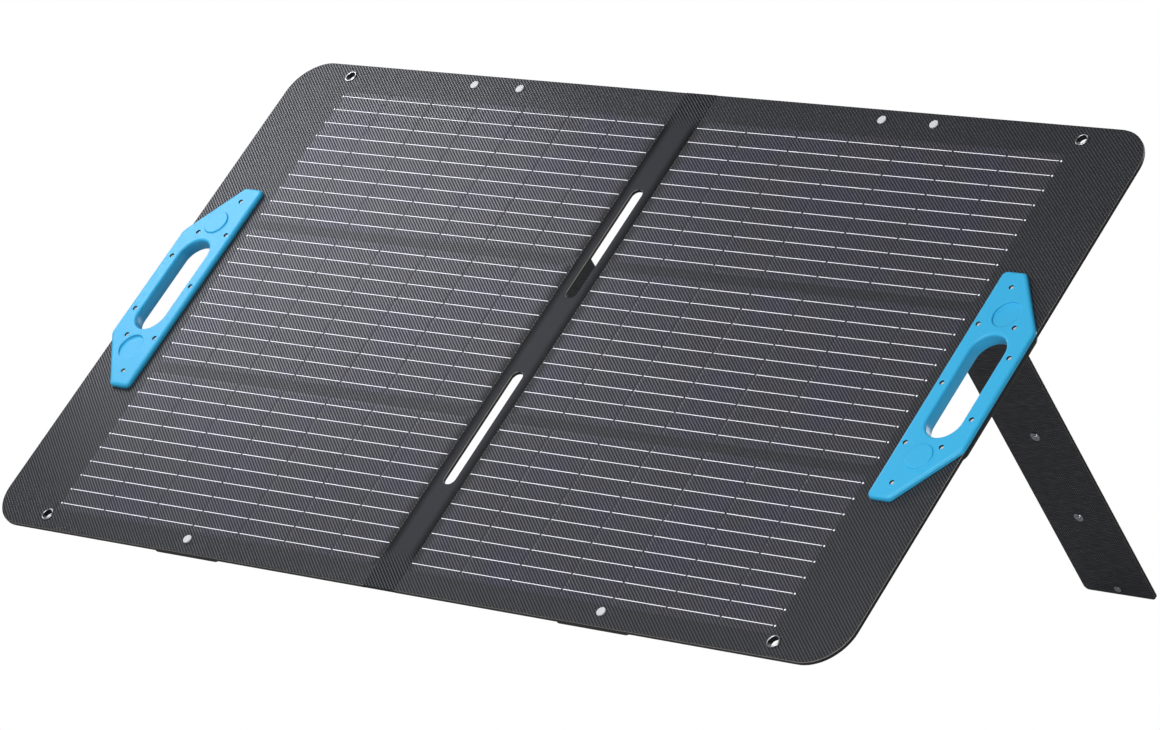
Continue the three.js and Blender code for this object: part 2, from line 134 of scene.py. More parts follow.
def addLamp(name, kind):
    light = bpy.data.lights.new(name, kind)
    lamp = bpy.data.objects.new(name, light)
    bpy.context.scene.collection.objects.link(lamp)
    return light, lamp


def makeLights():
    scene = bpy.context.scene
    scene.view_settings.view_transform = "Standard"
    for index, (place, aim, width, height, watts, colour) in enumerate(lighting["softboxes"]):
        light, lamp = addLamp(f"softbox{index}", "AREA")
        light.shape = "RECTANGLE"
        light.size, light.size_y = width, height
        light.energy = watts
        light.color = tint(colour)[:3]
        lamp.location = place
        lamp.rotation_euler = (Vector(aim) - Vector(place)).to_track_quat("-Z", "Y").to_euler()
    sun, lamp = addLamp("sun", "SUN")
    sun.energy = lighting["sunStrength"]
    sun.angle = math.radians(lighting["sunAngle"])
    lamp.rotation_euler = [math.radians(a) for a in lighting["sunTurn"]]

    world = bpy.data.worlds.new("studio")
    scene.world = world
    world.use_nodes = True
    tree = world.node_tree
    tree.nodes.clear()
    rays = addNode(tree, "LightPath")
    soft = addNode(tree, "Background", Color=tint("#ffffff"), Strength=lighting["world"])
    white = addNode(tree, "Background", Color=tint("#ffffff"), Strength=lighting["backdrop"])
    mix = addNode(tree, "MixShader", Fac=rays.outputs["Is Camera Ray"])
    tree.links.new(soft.outputs[0], mix.inputs[1])
    tree.links.new(white.outputs[0], mix.inputs[2])
    out = addNode(tree, "OutputWorld")
    tree.links.new(mix.outputs[0], out.inputs["Surface"])


def makeFloor():
    span = lighting["floorSpan"]
    corners = np.array([[-1, -1, 0], [1, -1, 0], [1, 1, 0], [-1, 1, 0]], float) * span
    corners[:, 2] = -0.0005
    floor = newMesh("floor", corners, [(0, 1, 2, 3)])
    material, tree, shader = newMaterial("paleFloor", lighting["floorColour"], 0.9, specular=0.1)
    shader.inputs["Emission Color"].default_value = tint("#ffffff")
    shader.inputs["Emission Strength"].default_value = lighting["floorGlow"]
    rays = addNode(tree, "LightPath")
    white = addNode(tree, "Emission", Color=tint("#ffffff"), Strength=lighting["backdrop"])
    seen = addNode(tree, "MixShader", Fac=rays.outputs["Is Camera Ray"])
    tree.links.new(shader.outputs[0], seen.inputs[1])
    tree.links.new(white.outputs[0], seen.inputs[2])
    tree.links.new(seen.outputs[0], tree.nodes["Material Output"].inputs["Surface"])
    floor.data.materials.append(material)


# Adds one node. A keyword is a socket, a setting, or in0, in1 and so on for a socket by its number; the
# output of another node is linked to it.
def addNode(tree, kind, **settings):
    node = tree.nodes.new(f"ShaderNode{kind}")
    for key, value in settings.items():
        socket = node.inputs.get(key.replace("_", " "))
        if key.startswith("in") and key[2:].isdigit():
            socket = node.inputs[int(key[2:])]
        if socket is None:
            setattr(node, key, value)
        elif isinstance(value, bpy.types.NodeSocket):
            tree.links.new(value, socket)
        else:
            socket.default_value = value
    return node


def newMaterial(name, colour, roughness, metallic=0.0, ior=1.5, specular=0.5):
    material = bpy.data.materials.new(name)
    material.use_nodes = True
    tree = material.node_tree
    shader = tree.nodes["Principled BSDF"]
    shader.inputs["Base Color"].default_value = tint(colour)
    shader.inputs["Roughness"].default_value = roughness
    shader.inputs["Metallic"].default_value = metallic
    shader.inputs["Specular IOR Level"].default_value = specular
    if not metallic:
        shader.inputs["IOR"].default_value = ior
    material.diffuse_color = tint(colour)
    return material, tree, shader


# A sine band across one direction of the UV map; pitch in metres, turned by degrees.
def bands(tree, pitch, turn=0.0):
    flat = addNode(tree, "UVMap")
    turned = addNode(tree, "Mapping", Vector=flat.outputs["UV"], Rotation=(0, 0, math.radians(turn)))
    wave = addNode(tree, "TexWave", Vector=turned.outputs["Vector"], wave_type="BANDS",
                   bands_direction="X", wave_profile="SIN", Scale=math.pi / 10 / pitch,
                   Distortion=0.0, Detail=0.0)
    return wave.outputs["Fac"]


def combine(tree, operation, first, second, third=0.25):
    return addNode(tree, "Math", operation=operation, in0=first, in1=second, in2=third).outputs[0]


# Warp crossed by weft: two sine bands at right angles, pitch in metres. Real threads of these cloths lie
# about half a millimetre apart; each cloth here draws them coarser, so that they show.
def plainWeave(tree, pitch):
    return combine(tree, "MULTIPLY", bands(tree, pitch), bands(tree, pitch, 90))


# Cloudy noise on the piece's own place in the frame; scale is patches to the metre.
def blotches(tree, scale, detail=3.0):
    place = addNode(tree, "TexCoord")
    noise = addNode(tree, "TexNoise", Vector=place.outputs["Object"], Scale=scale, Detail=detail)
    return noise.outputs["Fac"]


def ramp(tree, factor, stops):
    node = addNode(tree, "ValToRGB", Fac=factor)
    elements = node.color_ramp.elements
    while len(elements) < len(stops):
        elements.new(0.5)
    for element, (position, colour) in zip(elements, stops):
        element.position = position
        element.color = tint(colour) if isinstance(colour, str) else (colour, colour, colour, 1)
    return node.outputs["Color"]


# Mixes two colours, each a hex string or an output, by a factor.
def mixColour(tree, factor, first, second):
    node = addNode(tree, "Mix", data_type="RGBA", blend_type="MIX")
    for socket, value in ((node.inputs[0], factor), (node.inputs[6], first), (node.inputs[7], second)):
        if isinstance(value, bpy.types.NodeSocket):
            tree.links.new(value, socket)
        else:
            socket.default_value = tint(value) if isinstance(value, str) else value
    return node.outputs[2]


def emboss(tree, shader, height, distance, strength=1.0):
    bump = addNode(tree, "Bump", Height=height, Distance=distance, Strength=strength)
    tree.links.new(bump.outputs["Normal"], shader.inputs["Normal"])


# Smooth-shaded mesh with one UV pair for each point.
def newMesh(name, points, faces, uv=None):
    mesh = bpy.data.meshes.new(name)
    mesh.from_pydata(np.asarray(points, float).tolist(), [], [tuple(int(i) for i in f) for f in faces])
    mesh.polygons.foreach_set("use_smooth", np.ones(len(mesh.polygons), bool))
    if uv is not None:
        corners = np.zeros(len(mesh.loops), np.int32)
        mesh.loops.foreach_get("vertex_index", corners)
        layer = mesh.uv_layers.new(name="UVMap")
        layer.data.foreach_set("uv", np.asarray(uv, float)[corners].ravel())
    mesh.update()
    made = bpy.data.objects.new(name, mesh)
    bpy.context.scene.collection.objects.link(made)
    return made


# Merged shells and strips have their faces turned outwards together.
def turnOutward(made):
    work = bmesh.new()
    work.from_mesh(made.data)
    bmesh.ops.recalc_face_normals(work, faces=work.faces)
    work.to_mesh(made.data)
    work.free()


# A part (points, faces, uv) in millimetres as one finished piece of the object.
def addPiece(name, part, material, body=None, replaces=(), sharp=35, place=onPanel,
             outward=False):
    points, faces, uv = part
    made = newMesh(name, place(points), faces, uv)
    if outward:
        turnOutward(made)
    made.data.materials.append(material)
    made.data.set_sharp_from_angle(angle=math.radians(sharp))
    if body:
        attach(made, body)
    if replaces:
        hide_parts(*replaces)
    return made


# Quads of a grid numbered row by row; either way may close on itself.
def gridFaces(rows, columns, closeRows=False, closeColumns=False, first=0):
    r = np.arange(rows if closeRows else rows - 1)
    c = np.arange(columns if closeColumns else columns - 1)
    r, c = np.meshgrid(r, c, indexing="ij")
    nextRow, nextColumn = (r + 1) % rows, (c + 1) % columns
    quads = np.stack([r * columns + c, r * columns + nextColumn, nextRow * columns + nextColumn,
                      nextRow * columns + c], -1)
    return quads.reshape(-1, 4) + first


# Several parts (points, faces, uv) as one mesh.
def joined(parts):
    points, faces, uvs, count = [], [], [], 0
    for part in parts:
        points.append(np.asarray(part[0], float))
        faces.extend([tuple(int(i) + count for i in face) for face in part[1]])
        uvs.append(np.asarray(part[2], float))
        count += len(part[0])
    return np.concatenate(points), faces, np.concatenate(uvs)


# Rounded rectangle from x0, y0 to x1, y1.
def rectangle(x0, x1, y0, y1, radius, steps=8):
    return outline([(x0, y0, radius), (x1, y0, radius), (x1, y1, radius), (x0, y1, radius)], steps)


# Quarter-round edge profile from back to front: (inset, z) pairs with radius r at each end.
def roundedEdge(back, front, backRadius, frontRadius, steps=4, support=0.5):
    turn = np.linspace(0, math.pi / 2, steps + 1)
    low = [(backRadius * (1 - math.sin(t)), back + backRadius * (1 - math.cos(t))) for t in turn]
    high = [(frontRadius * (1 - math.cos(t)), front - frontRadius * (1 - math.sin(t))) for t in turn]
    return [(backRadius + support, back)] + low + high + [(frontRadius + support, front)]


# Points of an outline's corners [x, y, radius], each corner a true arc.
def outline(corners, steps=8):
    made = []
    count = len(corners)
    for index, (x, y, radius) in enumerate(corners):
        corner = np.array([x, y])
        back = np.array(corners[index - 1][:2]) - corner
        ahead = np.array(corners[(index + 1) % count][:2]) - corner
        back, ahead = back / np.linalg.norm(back), ahead / np.linalg.norm(ahead)
        half = math.acos(np.clip(back @ ahead, -1, 1)) / 2
        if radius == 0:
            made.append(corner[None])
            continue
        middle = (back + ahead) / np.linalg.norm(back + ahead) * radius / math.sin(half) + corner
        start = corner + back * radius / math.tan(half) - middle
        end = corner + ahead * radius / math.tan(half) - middle
        a0, a1 = math.atan2(start[1], start[0]), math.atan2(end[1], end[0])
        sweep = (a1 - a0 + math.pi) % (2 * math.pi) - math.pi
        angles = a0 + np.linspace(0, 1, steps + 1) * sweep
        made.append(middle + radius * np.stack([np.cos(angles), np.sin(angles)], -1))
    return np.concatenate(made)


# Equal steps round a circle.
def circle(x, y, radius, sides=32):
    angles = np.linspace(0, 2 * math.pi, sides, endpoint=False)
    return np.stack([x + radius * np.cos(angles), y + radius * np.sin(angles)], -1)


# Slot with full round ends, standing along y.
def slotOutline(x, y, width, length, sides=20):
    radius, rise = width / 2, length / 2 - width / 2
    top = np.linspace(0, math.pi, sides + 1)
    upper = np.stack([x + radius * np.cos(top), y + rise + radius * np.sin(top)], -1)
    lower = np.stack([x - radius * np.cos(top), y - rise - radius * np.sin(top)], -1)
    return np.concatenate([upper, lower])


# The ring running the wanted way round, told by the sign of its area.
def turnedWay(ring, clockwise):
    area = np.sum(ring[:, 0] * np.roll(ring[:, 1], -1) - np.roll(ring[:, 0], -1) * ring[:, 1])
    return ring[::-1] if (area < 0) != clockwise else ring


# Mitred outward normals of a closed ring.
def ringNormals(ring):
    ahead = np.roll(ring, -1, 0) - ring
    ahead /= np.linalg.norm(ahead, axis=1)[:, None]
    normal = np.stack([ahead[:, 1], -ahead[:, 0]], -1)
    before = np.roll(normal, 1, 0)
    both = normal + before
    both /= np.linalg.norm(both, axis=1)[:, None]
    return both / np.sum(both * normal, 1)[:, None]


# Plate with holes: each ring carries its own (inset, z) profile from the back cap to the front cap.
# A blind ring runs from the disc that closes it to the front cap.
def plate(rings, blind=()):
    points, faces, count = [], [], 0
    caps = {"back": [], "front": []}
    for index, (ring, profile) in enumerate(list(rings) + list(blind)):
        ring = turnedWay(np.asarray(ring, float), index > 0)
        normal = ringNormals(ring)
        inset, depth = np.array(profile, float).T
        levels = ring[None] - normal[None] * inset[:, None, None]
        solid = np.concatenate([levels, np.broadcast_to(depth[:, None, None], levels.shape[:2] + (1,))], -1)
        points.append(solid.reshape(-1, 3))
        faces.extend(gridFaces(len(profile), len(ring), closeColumns=True, first=count).tolist())
        numbers = np.arange(len(ring))
        if index < len(rings):
            caps["back"].append((levels[0], numbers + count))
        else:
            faces.append((numbers[::-1] + count).tolist())
        caps["front"].append((levels[-1], numbers + count + (len(profile) - 1) * len(ring)))
        count += solid.shape[0] * solid.shape[1]
    for name, loops in caps.items():
        flat = [[Vector((x, y, 0)) for x, y in loop] for loop, _ in loops]
        numbers = np.concatenate([n for _, n in loops])
        plane = np.concatenate([loop for loop, _ in loops])
        triangles = np.array(geometry.tessellate_polygon(flat), int)
        a, b, c = (plane[triangles[:, k]] for k in range(3))
        area = (b[:, 0] - a[:, 0]) * (c[:, 1] - a[:, 1]) - (c[:, 0] - a[:, 0]) * (b[:, 1] - a[:, 1])
        wanted = area > 0 if name == "front" else area < 0
        triangles = np.where(wanted[:, None], triangles, triangles[:, ::-1])
        faces.extend(numbers[triangles[np.abs(area) > 1e-12]].tolist())
    points = np.concatenate(points)
    return points, faces, points[:, :2] * mm


# Solid of revolution about z at (x, y): profile of (radius, z) from back to front.
def turnedPart(profile, x, y, sides=40):
    profile = np.array(profile, float)
    angles = np.linspace(0, 2 * math.pi, sides, endpoint=False)
    radius, depth = profile[:, 0][:, None], profile[:, 1][:, None]
    points = np.stack([x + radius * np.cos(angles), y + radius * np.sin(angles),
                       np.broadcast_to(depth, (len(profile), sides))], -1).reshape(-1, 3)
    faces = gridFaces(len(profile), sides, closeColumns=True).tolist()
    return points, faces, points[:, :2] * mm


# The same with both ends closed, by a pole or by a flat cap.
def closedTurn(profile, x, y, sides=40):
    points, faces, uv = turnedPart(profile, x, y, sides)
    last = (len(profile) - 1) * sides
    if profile[0][0] < 1e-6 or profile[-1][0] < 1e-6:
        return cleaned(points, faces)
    faces.extend([list(range(sides))[::-1], [last + i for i in range(sides)]])
    return points, faces, uv


# Merges the doubled points at a pole and drops the faces that fold up.
def cleaned(points, faces):
    first, back = np.unique(np.round(points, 5), axis=0, return_index=True, return_inverse=True)[1:]
    back = back.ravel()
    kept = []
    for face in faces:
        loop = [int(back[i]) for i in face]
        loop = [i for k, i in enumerate(loop) if i != loop[k - 1]]
        if len(set(loop)) >= 3:
            kept.append(loop)
    return points[first], kept, points[first][:, :2] * mm


# A dome-ended disc from z back to front, standing on a surface.
def disc(x, y, radius, back, front, edge=0.4, crown=0.0, sides=40):
    turn = np.linspace(0, math.pi / 2, 5)
    rim = [(radius - edge * (1 - math.cos(t)), front - crown - edge * (1 - math.sin(t))) for t in turn]
    top = [(radius * s, front - crown * s * s) for s in (0.75, 0.5, 0.25)]
    profile = [(0, back), (radius, back), *rim, *top, (0, front)]
    return closedTurn(profile, x, y, sides)


# The real lattice is about 2.2 to 2.5 mm and is drawn coarser, so that it shows. Turns are in degrees.
pressedGrain = dict(pitch=0.0028, crossPitch=0.0028 * 1.2, turn=-52, crossTurn=30, floor=0.24, top=0.54,
                    roughFloor=0.68, roughTop=0.28, depth=0.0002, strength=0.8)


# Embossed dots of the film: two crossed sine bands, of which one family stands out as a hatch.
def embossLattice(tree, crossing):
    hatch = bands(tree, pressedGrain["pitch"], pressedGrain["turn"])
    cross = bands(tree, pressedGrain["crossPitch"], pressedGrain["crossTurn"])
    dots = combine(tree, "MULTIPLY", hatch, combine(tree, "MULTIPLY_ADD", cross, crossing, 1 - crossing))
    return ramp(tree, dots, [(pressedGrain["floor"], 0.0), (pressedGrain["top"], 1.0)])


# The raised grain is smoother than the floor between it.
def pressGrain(tree, shader, lattice):
    polish = [(0.0, pressedGrain["roughFloor"]), (1.0, pressedGrain["roughTop"])]
    tree.links.new(ramp(tree, lattice, polish), shader.inputs["Roughness"])
    emboss(tree, shader, lattice, pressedGrain["depth"], pressedGrain["strength"])


# Nought within start metres of a line of the UV map, one beyond end; axis X is off the fold line.
def awayFrom(tree, start, end, axis="X", line=0.0):
    flat = addNode(tree, "UVMap")
    parts = addNode(tree, "SeparateXYZ", Vector=flat.outputs["UV"])
    offset = combine(tree, "SUBTRACT", parts.outputs[axis], line)
    offset = combine(tree, "ABSOLUTE", offset, 0.0)
    node = addNode(tree, "MapRange", Value=offset, From_Min=start, From_Max=end)
    node.interpolation_type = "SMOOTHSTEP"
    return node.outputs["Result"]


# ETFE film on the border: charcoal, with a fine pressed grain that breaks up its sheen.
# The grain is real; its light tops and near-black floor in the colour are painted sheen.
def makeFilm():
    material, tree, shader = newMaterial("etfeFilm", "#1e1f23", 0.5, specular=0.4)
    lattice = embossLattice(tree, 0.6)
    patches = blotches(tree, 6.0)  # patches of about 170 mm
    # Painted sheen: the real pressed grain takes light tops and a near-black floor in its colour.
    dark = mixColour(tree, lattice, "#010102", "#44464c")
    tree.links.new(mixColour(tree, combine(tree, "MULTIPLY", patches, 0.2), dark, "#18191d"),
                   shader.inputs["Base Color"])
    pressGrain(tree, shader, lattice)
    return material


# The same film over the cells: the violet grey of the silicon shows. The grain's bright tops and near-black
# floor in the colour are painted sheen on the real pressed grain, and beside the fold strip the colour goes
# near black as painted shade.
def makeCellFilm():
    material, tree, shader = newMaterial("filmOverSilicon", "#34323f", 0.42, ior=1.55, specular=0.38)
    # Painted shade beside the fold strip: within 19.5 mm of the fold line the cells are near black, fading out
    # by 36 mm.
    paintedShadeAtFold = awayFrom(tree, 0.0195, 0.036)  # metres off the fold line
    lattice = combine(tree, "MULTIPLY", embossLattice(tree, 0.5), paintedShadeAtFold)
    patches = ramp(tree, blotches(tree, 14.0), [(0.4, 0.0), (0.7, 1.0)])  # patches of about 70 mm
    silicon = mixColour(tree, patches, "#515059", "#4f4e64")
    # Grain tops light and floor near black: painted sheen on the real pressed grain.
    tree.links.new(mixColour(tree, lattice, "#020203", silicon), shader.inputs["Base Color"])
    pressGrain(tree, shader, lattice)
    return material


# Tinned copper seen through the film: pale lavender lines, made to glow faintly by emission as a painted glow.
def makeTin():
    material, _, shader = newMaterial("tinnedCopperPaintedGlow", "#ececf4", 0.45)
    # Painted glow: the lines give off light though they are no lamp.
    shader.inputs["Emission Color"].default_value = tint("#ececf4")
    shader.inputs["Emission Strength"].default_value = 0.42
    return material


# Plain-woven polyester cloth of the folding strip: smooth and matt along the cells, its edges darkened as
# painted shade beside the cells; above and below them the film's grain runs on over it, with the same painted
# sheen in its colour.
def makeFoldCloth():
    material, tree, shader = newMaterial("foldPolyester", "#18191c", 0.5, specular=0.07)
    cellsEnd = (0.262, 0.288)  # metres up or down from the middle of the panel
    paintedShadeEdge = (0.008, 0.0195)  # metres off the fold line
    beyondCells = awayFrom(tree, *cellsEnd, "Y", panel["height"] / 2 * mm)
    weave = plainWeave(tree, 0.0016)
    cloth = mixColour(tree, weave, "#323338", "#3d3e43")
    # Painted shade: darker towards the strip's edges beside the cells.
    cloth = mixColour(tree, awayFrom(tree, *paintedShadeEdge), cloth, "#0c0d0f")
    film = mixColour(tree, embossLattice(tree, 0.6), "#08080a", "#505259")
    tree.links.new(mixColour(tree, beyondCells, cloth, film), shader.inputs["Base Color"])
    emboss(tree, shader, weave, 0.0002, 0.3)
    return material


# Polyester cloth of the back: a matt weave, drawn coarse enough to show, with a slight fuzz at grazing
# angles.
def makeBackCloth():
    material, tree, shader = newMaterial("backPolyester", "#1d1f22", 0.85)
    weave = plainWeave(tree, 0.0022)
    fuzz = blotches(tree, 320.0, 2.0)  # tufts of about 3 mm
    speck = combine(tree, "MULTIPLY", weave, fuzz)
    tree.links.new(mixColour(tree, speck, "#17181b", "#34373c"), shader.inputs["Base Color"])
    shader.inputs["Sheen Weight"].default_value = 0.15
    emboss(tree, shader, weave, 0.0005, 0.6)
    return material


# Dark grey woven polyester over the leg boards. The weave is drawn coarse enough to show, and breaks up
# into short faint streaks across the leg.
def makeLegCloth():
    material, tree, shader = newMaterial("legPolyester", "#141517", 0.6, specular=0.35)
    weave = plainWeave(tree, 0.0026)
    flat = addNode(tree, "UVMap")
    streak = addNode(tree, "Mapping", Vector=flat.outputs["UV"], Scale=(70, 620, 1))  # 14 by 1.6 mm
    noise = addNode(tree, "TexNoise", Vector=streak.outputs["Vector"], Scale=1.0, Detail=3.0)
    streaks = ramp(tree, noise.outputs["Fac"], [(0.35, 0.15), (0.7, 1.0)])
    grain = combine(tree, "MULTIPLY", weave, streaks)
    tree.links.new(mixColour(tree, grain, "#393a3e", "#92949a"), shader.inputs["Base Color"])
    emboss(tree, shader, grain, 0.0006, 0.7)
    return material


# Pale grey line on the film's cut walls and rounded rim; on the rounded front rims of the fold cloth and the
# leg sleeves the same pale grey is a painted highlight.
def makePaleEdgeAndHighlight():
    return newMaterial("laminateCore", "#949088", 0.5)[0]


# Coated rim of the panel and side walls of the legs: smoother and blacker than the cloth beside it. The bores
# of the eyelets and the handle screw holes take it too, as painted shade.
def makeCoatAndBoreShade():
    return newMaterial("polyurethaneCoatAndBoreShade", "#0d0e0f", 0.48)[0]


# Moulded ABS of the handles: sky blue, a fine spark-eroded grain and a soft gloss.
def makeBlue():
    material, tree, shader = newMaterial("skyBlueAbs", "#3ab5e7", 0.42, specular=0.28)
    grain = blotches(tree, 1400.0, 2.0)  # about 0.7 mm, coarser than a real spark-eroded grain so that it shows
    tree.links.new(ramp(tree, grain, [(0.3, 0.46), (0.7, 0.36)]), shader.inputs["Roughness"])
    emboss(tree, shader, grain, 0.00006, 0.3)
    return material


# Black ABS of the back plates and the junction box: matt moulding grain.
def makeBlack():
    material, tree, shader = newMaterial("blackAbs", "#17181a", 0.5)
    grain = blotches(tree, 900.0, 2.0)  # about 1.1 mm, drawn coarse so that it shows
    tree.links.new(ramp(tree, grain, [(0.3, 0.56), (0.7, 0.44)]), shader.inputs["Roughness"])
    emboss(tree, shader, grain, 0.00008, 0.4)
    return material


# Steel of the fixings, its polish slightly uneven: nickel-plated and bright on the eyelets and the box
# screws, satin on the snaps.
def makeSteel(name, colour, roughness):
    material, tree, shader = newMaterial(name, colour, roughness, metallic=1.0)
    wear = blotches(tree, 700.0, 3.0)  # patches of about 1.4 mm
    tree.links.new(ramp(tree, wear, [(0.3, roughness * 0.8), (0.7, roughness * 1.25)]),
                   shader.inputs["Roughness"])
    return material


# Rivets and handle screws under a thin pale lacquer: even light grey from every side.
def makeLacquer():
    return newMaterial("lacqueredRivet", "#dadbde", 0.6, specular=0.3)[0]


# Polyester webbing: ribs across the strap and a twill inside them.
def makeWebbing():
    material, tree, shader = newMaterial("polyesterWebbing", "#141517", 0.8)
    ribs = bands(tree, 0.0018, 90)  # ribs 1.8 mm apart
    twill = bands(tree, 0.0026, 60)
    weave = combine(tree, "MULTIPLY", ribs, twill)
    tree.links.new(mixColour(tree, weave, "#0e0f10", "#2e3034"), shader.inputs["Base Color"])
    shader.inputs["Sheen Weight"].default_value = 0.1
    emboss(tree, shader, weave, 0.0005, 0.7)
    return material


# Bonded sewing thread, a shade lighter than the cloth so that the rows read.
def makeThread():
    return newMaterial("bondedThread", "#3a3d41", 0.6)[0]


# Glass-filled circuit board: green lacquer.
def makeBoard():
    return newMaterial("circuitLacquer", "#1f4a33", 0.35)[0]


# Glass fibre board: resin-rich and even, a dull olive grey.
def makeGlassFibre():
    return newMaterial("glassFibreBoard", "#4b5046", 0.6)[0]


# Depths and edges of the film, the rim and the back cloth of each half, then the holes through them.
layers = dict(innerX=20.35, filmBack=-0.72, rimOut=0.28, rimFront=-0.75, rimBack=-3.1, coverFront=-3.15,
              coverOut=0.3, filmEdge=0.62, coverEdge=0.35)
holes = dict(slotX=532.8, slotWidth=45.6, slotLength=125.6, eyeletX=490, eyeletInset=16.5, eyelet=6.3,
             rivet=2.55, rivetPairX=(243.3, 308.5), rivetTop=13.5, rivetBottomX=280, rivetBottom=16)


# Outline of a half: square at the fold, round at the outer corners, moved outwards if asked.
def halfOutline(side, outward=0.0, innerX=layers["innerX"]):
    outer, top, low = panel["halfWidth"] + outward, panel["height"] + outward, -outward
    radius = panel["corner"] + outward
    return outline([(side * innerX, low, 0), (side * outer, low, radius), (side * outer, top, radius),
                    (side * innerX, top, 0)], 24)


# Holes for the handle's collar, the eyelets and the rivets, all with the same wall profile.
def fixingRings(side, profile):
    mid, top = panel["height"] / 2, panel["height"]
    rings = [(slotOutline(side * holes["slotX"], mid, holes["slotWidth"], holes["slotLength"]), profile)]
    spots = [(holes["eyeletX"], holes["eyeletInset"], holes["eyelet"]),
             (holes["eyeletX"], top - holes["eyeletInset"], holes["eyelet"]),
             (holes["rivetBottomX"], holes["rivetBottom"], holes["rivet"])]
    spots += [(x, top - holes["rivetTop"], holes["rivet"]) for x in holes["rivetPairX"]]
    return rings + [(circle(side * x, y, radius, 24), profile) for x, y, radius in spots]


# Film: a flat face with a rounded rim and straight-walled holes, its cut walls and rounded rim pale grey.
def makeFront(sideName, side, film, paleEdgeAndHighlight):
    edge = roundedEdge(layers["filmBack"], 0, 0.05, layers["filmEdge"], 4, 0.4)
    straight = [(0, layers["filmBack"]), (0, 0)]
    part = plate([(halfOutline(side), edge)] + fixingRings(side, straight))
    front = addPiece(f"front_film_{sideName}", part, film, f"{sideName}_half",
                     [f"front_laminate_{sideName}"])
    wall = np.abs(faceValues(front, "normal") @ outOfFace) < 0.75  # faces that look along the panel
    paintFaces(front, wall, paleEdgeAndHighlight)


# The "normal" or the "center" of every face, one row each.
def faceValues(made, kind):
    values = np.zeros(len(made.data.polygons) * 3)
    made.data.polygons.foreach_get(kind, values)
    return values.reshape(-1, 3)


# More materials on a piece, and which one each face takes; nought is the one it has.
def paintFaces(made, kinds, *materials):
    for material in materials:
        made.data.materials.append(material)
    made.data.polygons.foreach_set("material_index", kinds.astype(np.int32))


# The faces nearer than a radius to [x, y] axes square to the panel, and below a height.
def paintBores(made, spots, radius, material, below=9.0):
    flat = (faceValues(made, "center") - panelOrigin) @ np.array([acrossPanel, upSlope, outOfFace]).T / mm
    away = np.linalg.norm(flat[:, None, :2] - np.array(spots)[None], axis=2).min(axis=1)
    paintFaces(made, (away < radius) & (flat[:, 2] < below), material)


# Closed strip of the given section [(out, z)] swept along the outside of a half, from fold to fold.
def makeRim(sideName, side, coat):
    ring = turnedWay(halfOutline(side), False)
    start = int(np.argmin(np.abs(ring[:, 0]) + ring[:, 1] * (1 if side > 0 else -1)))
    ring = np.roll(ring, -start, 0)
    normal = ringNormals(ring)
    normal[[0, -1], 0] = 0
    normal /= np.linalg.norm(normal, axis=1)[:, None]
    out, low, high = layers["rimOut"], layers["rimBack"], layers["rimFront"]
    section = np.array([(0.02, low), (out - 0.1, low), (out, low + 0.1), (out, high - 0.1),
                        (out - 0.1, high), (0.02, high)])
    count = len(section)
    path = ring[:, None] + normal[:, None] * section[None, :, :1]
    points = np.concatenate([path, np.broadcast_to(section[None, :, 1:], path.shape[:2] + (1,))], -1)
    points = points.reshape(-1, 3)
    faces = gridFaces(len(ring), count, closeColumns=True).tolist()
    faces += [list(range(count))[::-1], [len(points) - count + i for i in range(count)]]
    along = np.concatenate([[0], np.cumsum(np.linalg.norm(np.diff(ring, axis=0), axis=1))])
    uv = np.stack([np.repeat(along, count), np.tile(section[:, 1], len(ring))], -1) * mm
    addPiece(f"panel_rim_{sideName}", (points, faces, uv), coat, f"{sideName}_half",
             outward=True)


# Back cloth: a thin plate with soft edges and the same holes.
def makeBack(sideName, side, cloth):
    edge = roundedEdge(panel["back"], layers["coverFront"], layers["coverEdge"], 0.1, 3, 0.5)
    straight = [(0, panel["back"]), (0, layers["coverFront"])]
    rings = [(halfOutline(side, layers["coverOut"]), edge)] + fixingRings(side, straight)
    cover = addPiece(f"back_cloth_{sideName}", plate(rings), cloth, f"{sideName}_half",
                     [f"back_cover_{sideName}"])


seam = dict(insets=(6.0, 9.0), sunk=0.02, pitch=4.2, length=2.9, width=0.55, rise=0.22)


# Short thread loops: one low lozenge of twelve faces, copied along a line of [x, y] points at depth z.
def stitchRow(points, z):
    run = np.concatenate([[0], np.cumsum(np.linalg.norm(np.diff(points, axis=0), axis=1))])
    marks = np.arange(seam["pitch"], run[-1] - seam["pitch"] / 2, seam["pitch"])
    x, y = (np.interp(marks, run, points[:, k]) for k in (0, 1))
    ahead = np.stack([np.interp(marks + 0.5, run, points[:, k]) - np.interp(marks - 0.5, run, points[:, k])
                      for k in (0, 1)], -1)
    ahead /= np.linalg.norm(ahead, axis=1)[:, None]
    across = np.stack([ahead[:, 1], -ahead[:, 0]], -1)
    shape = np.array([(-0.5, 0, 0), (-0.25, 0.5, 0), (0.25, 0.5, 0), (0.5, 0, 0), (0.25, -0.5, 0),
                      (-0.25, -0.5, 0), (-0.25, 0, 1), (0.25, 0, 1)])
    centre = np.stack([x, y], -1)[:, None]
    flat = (centre + ahead[:, None] * shape[None, :, :1] * seam["length"]
            + across[:, None] * shape[None, :, 1:2] * seam["width"])
    depth = np.broadcast_to(z - shape[None, :, 2:] * seam["rise"], flat.shape[:2] + (1,))
    solid = np.concatenate([flat, depth], -1).reshape(-1, 3)
    loops = np.array([(0, 1, 6), (1, 2, 7), (1, 7, 6), (2, 3, 7), (3, 4, 7), (4, 5, 6), (4, 6, 7), (5, 0, 6),
                      (0, 5, 1), (1, 5, 4), (1, 4, 2), (2, 4, 3)])
    faces = (loops[None] + np.arange(len(marks))[:, None, None] * 8).reshape(-1, 3)
    return solid, faces.tolist(), solid[:, :2] * mm


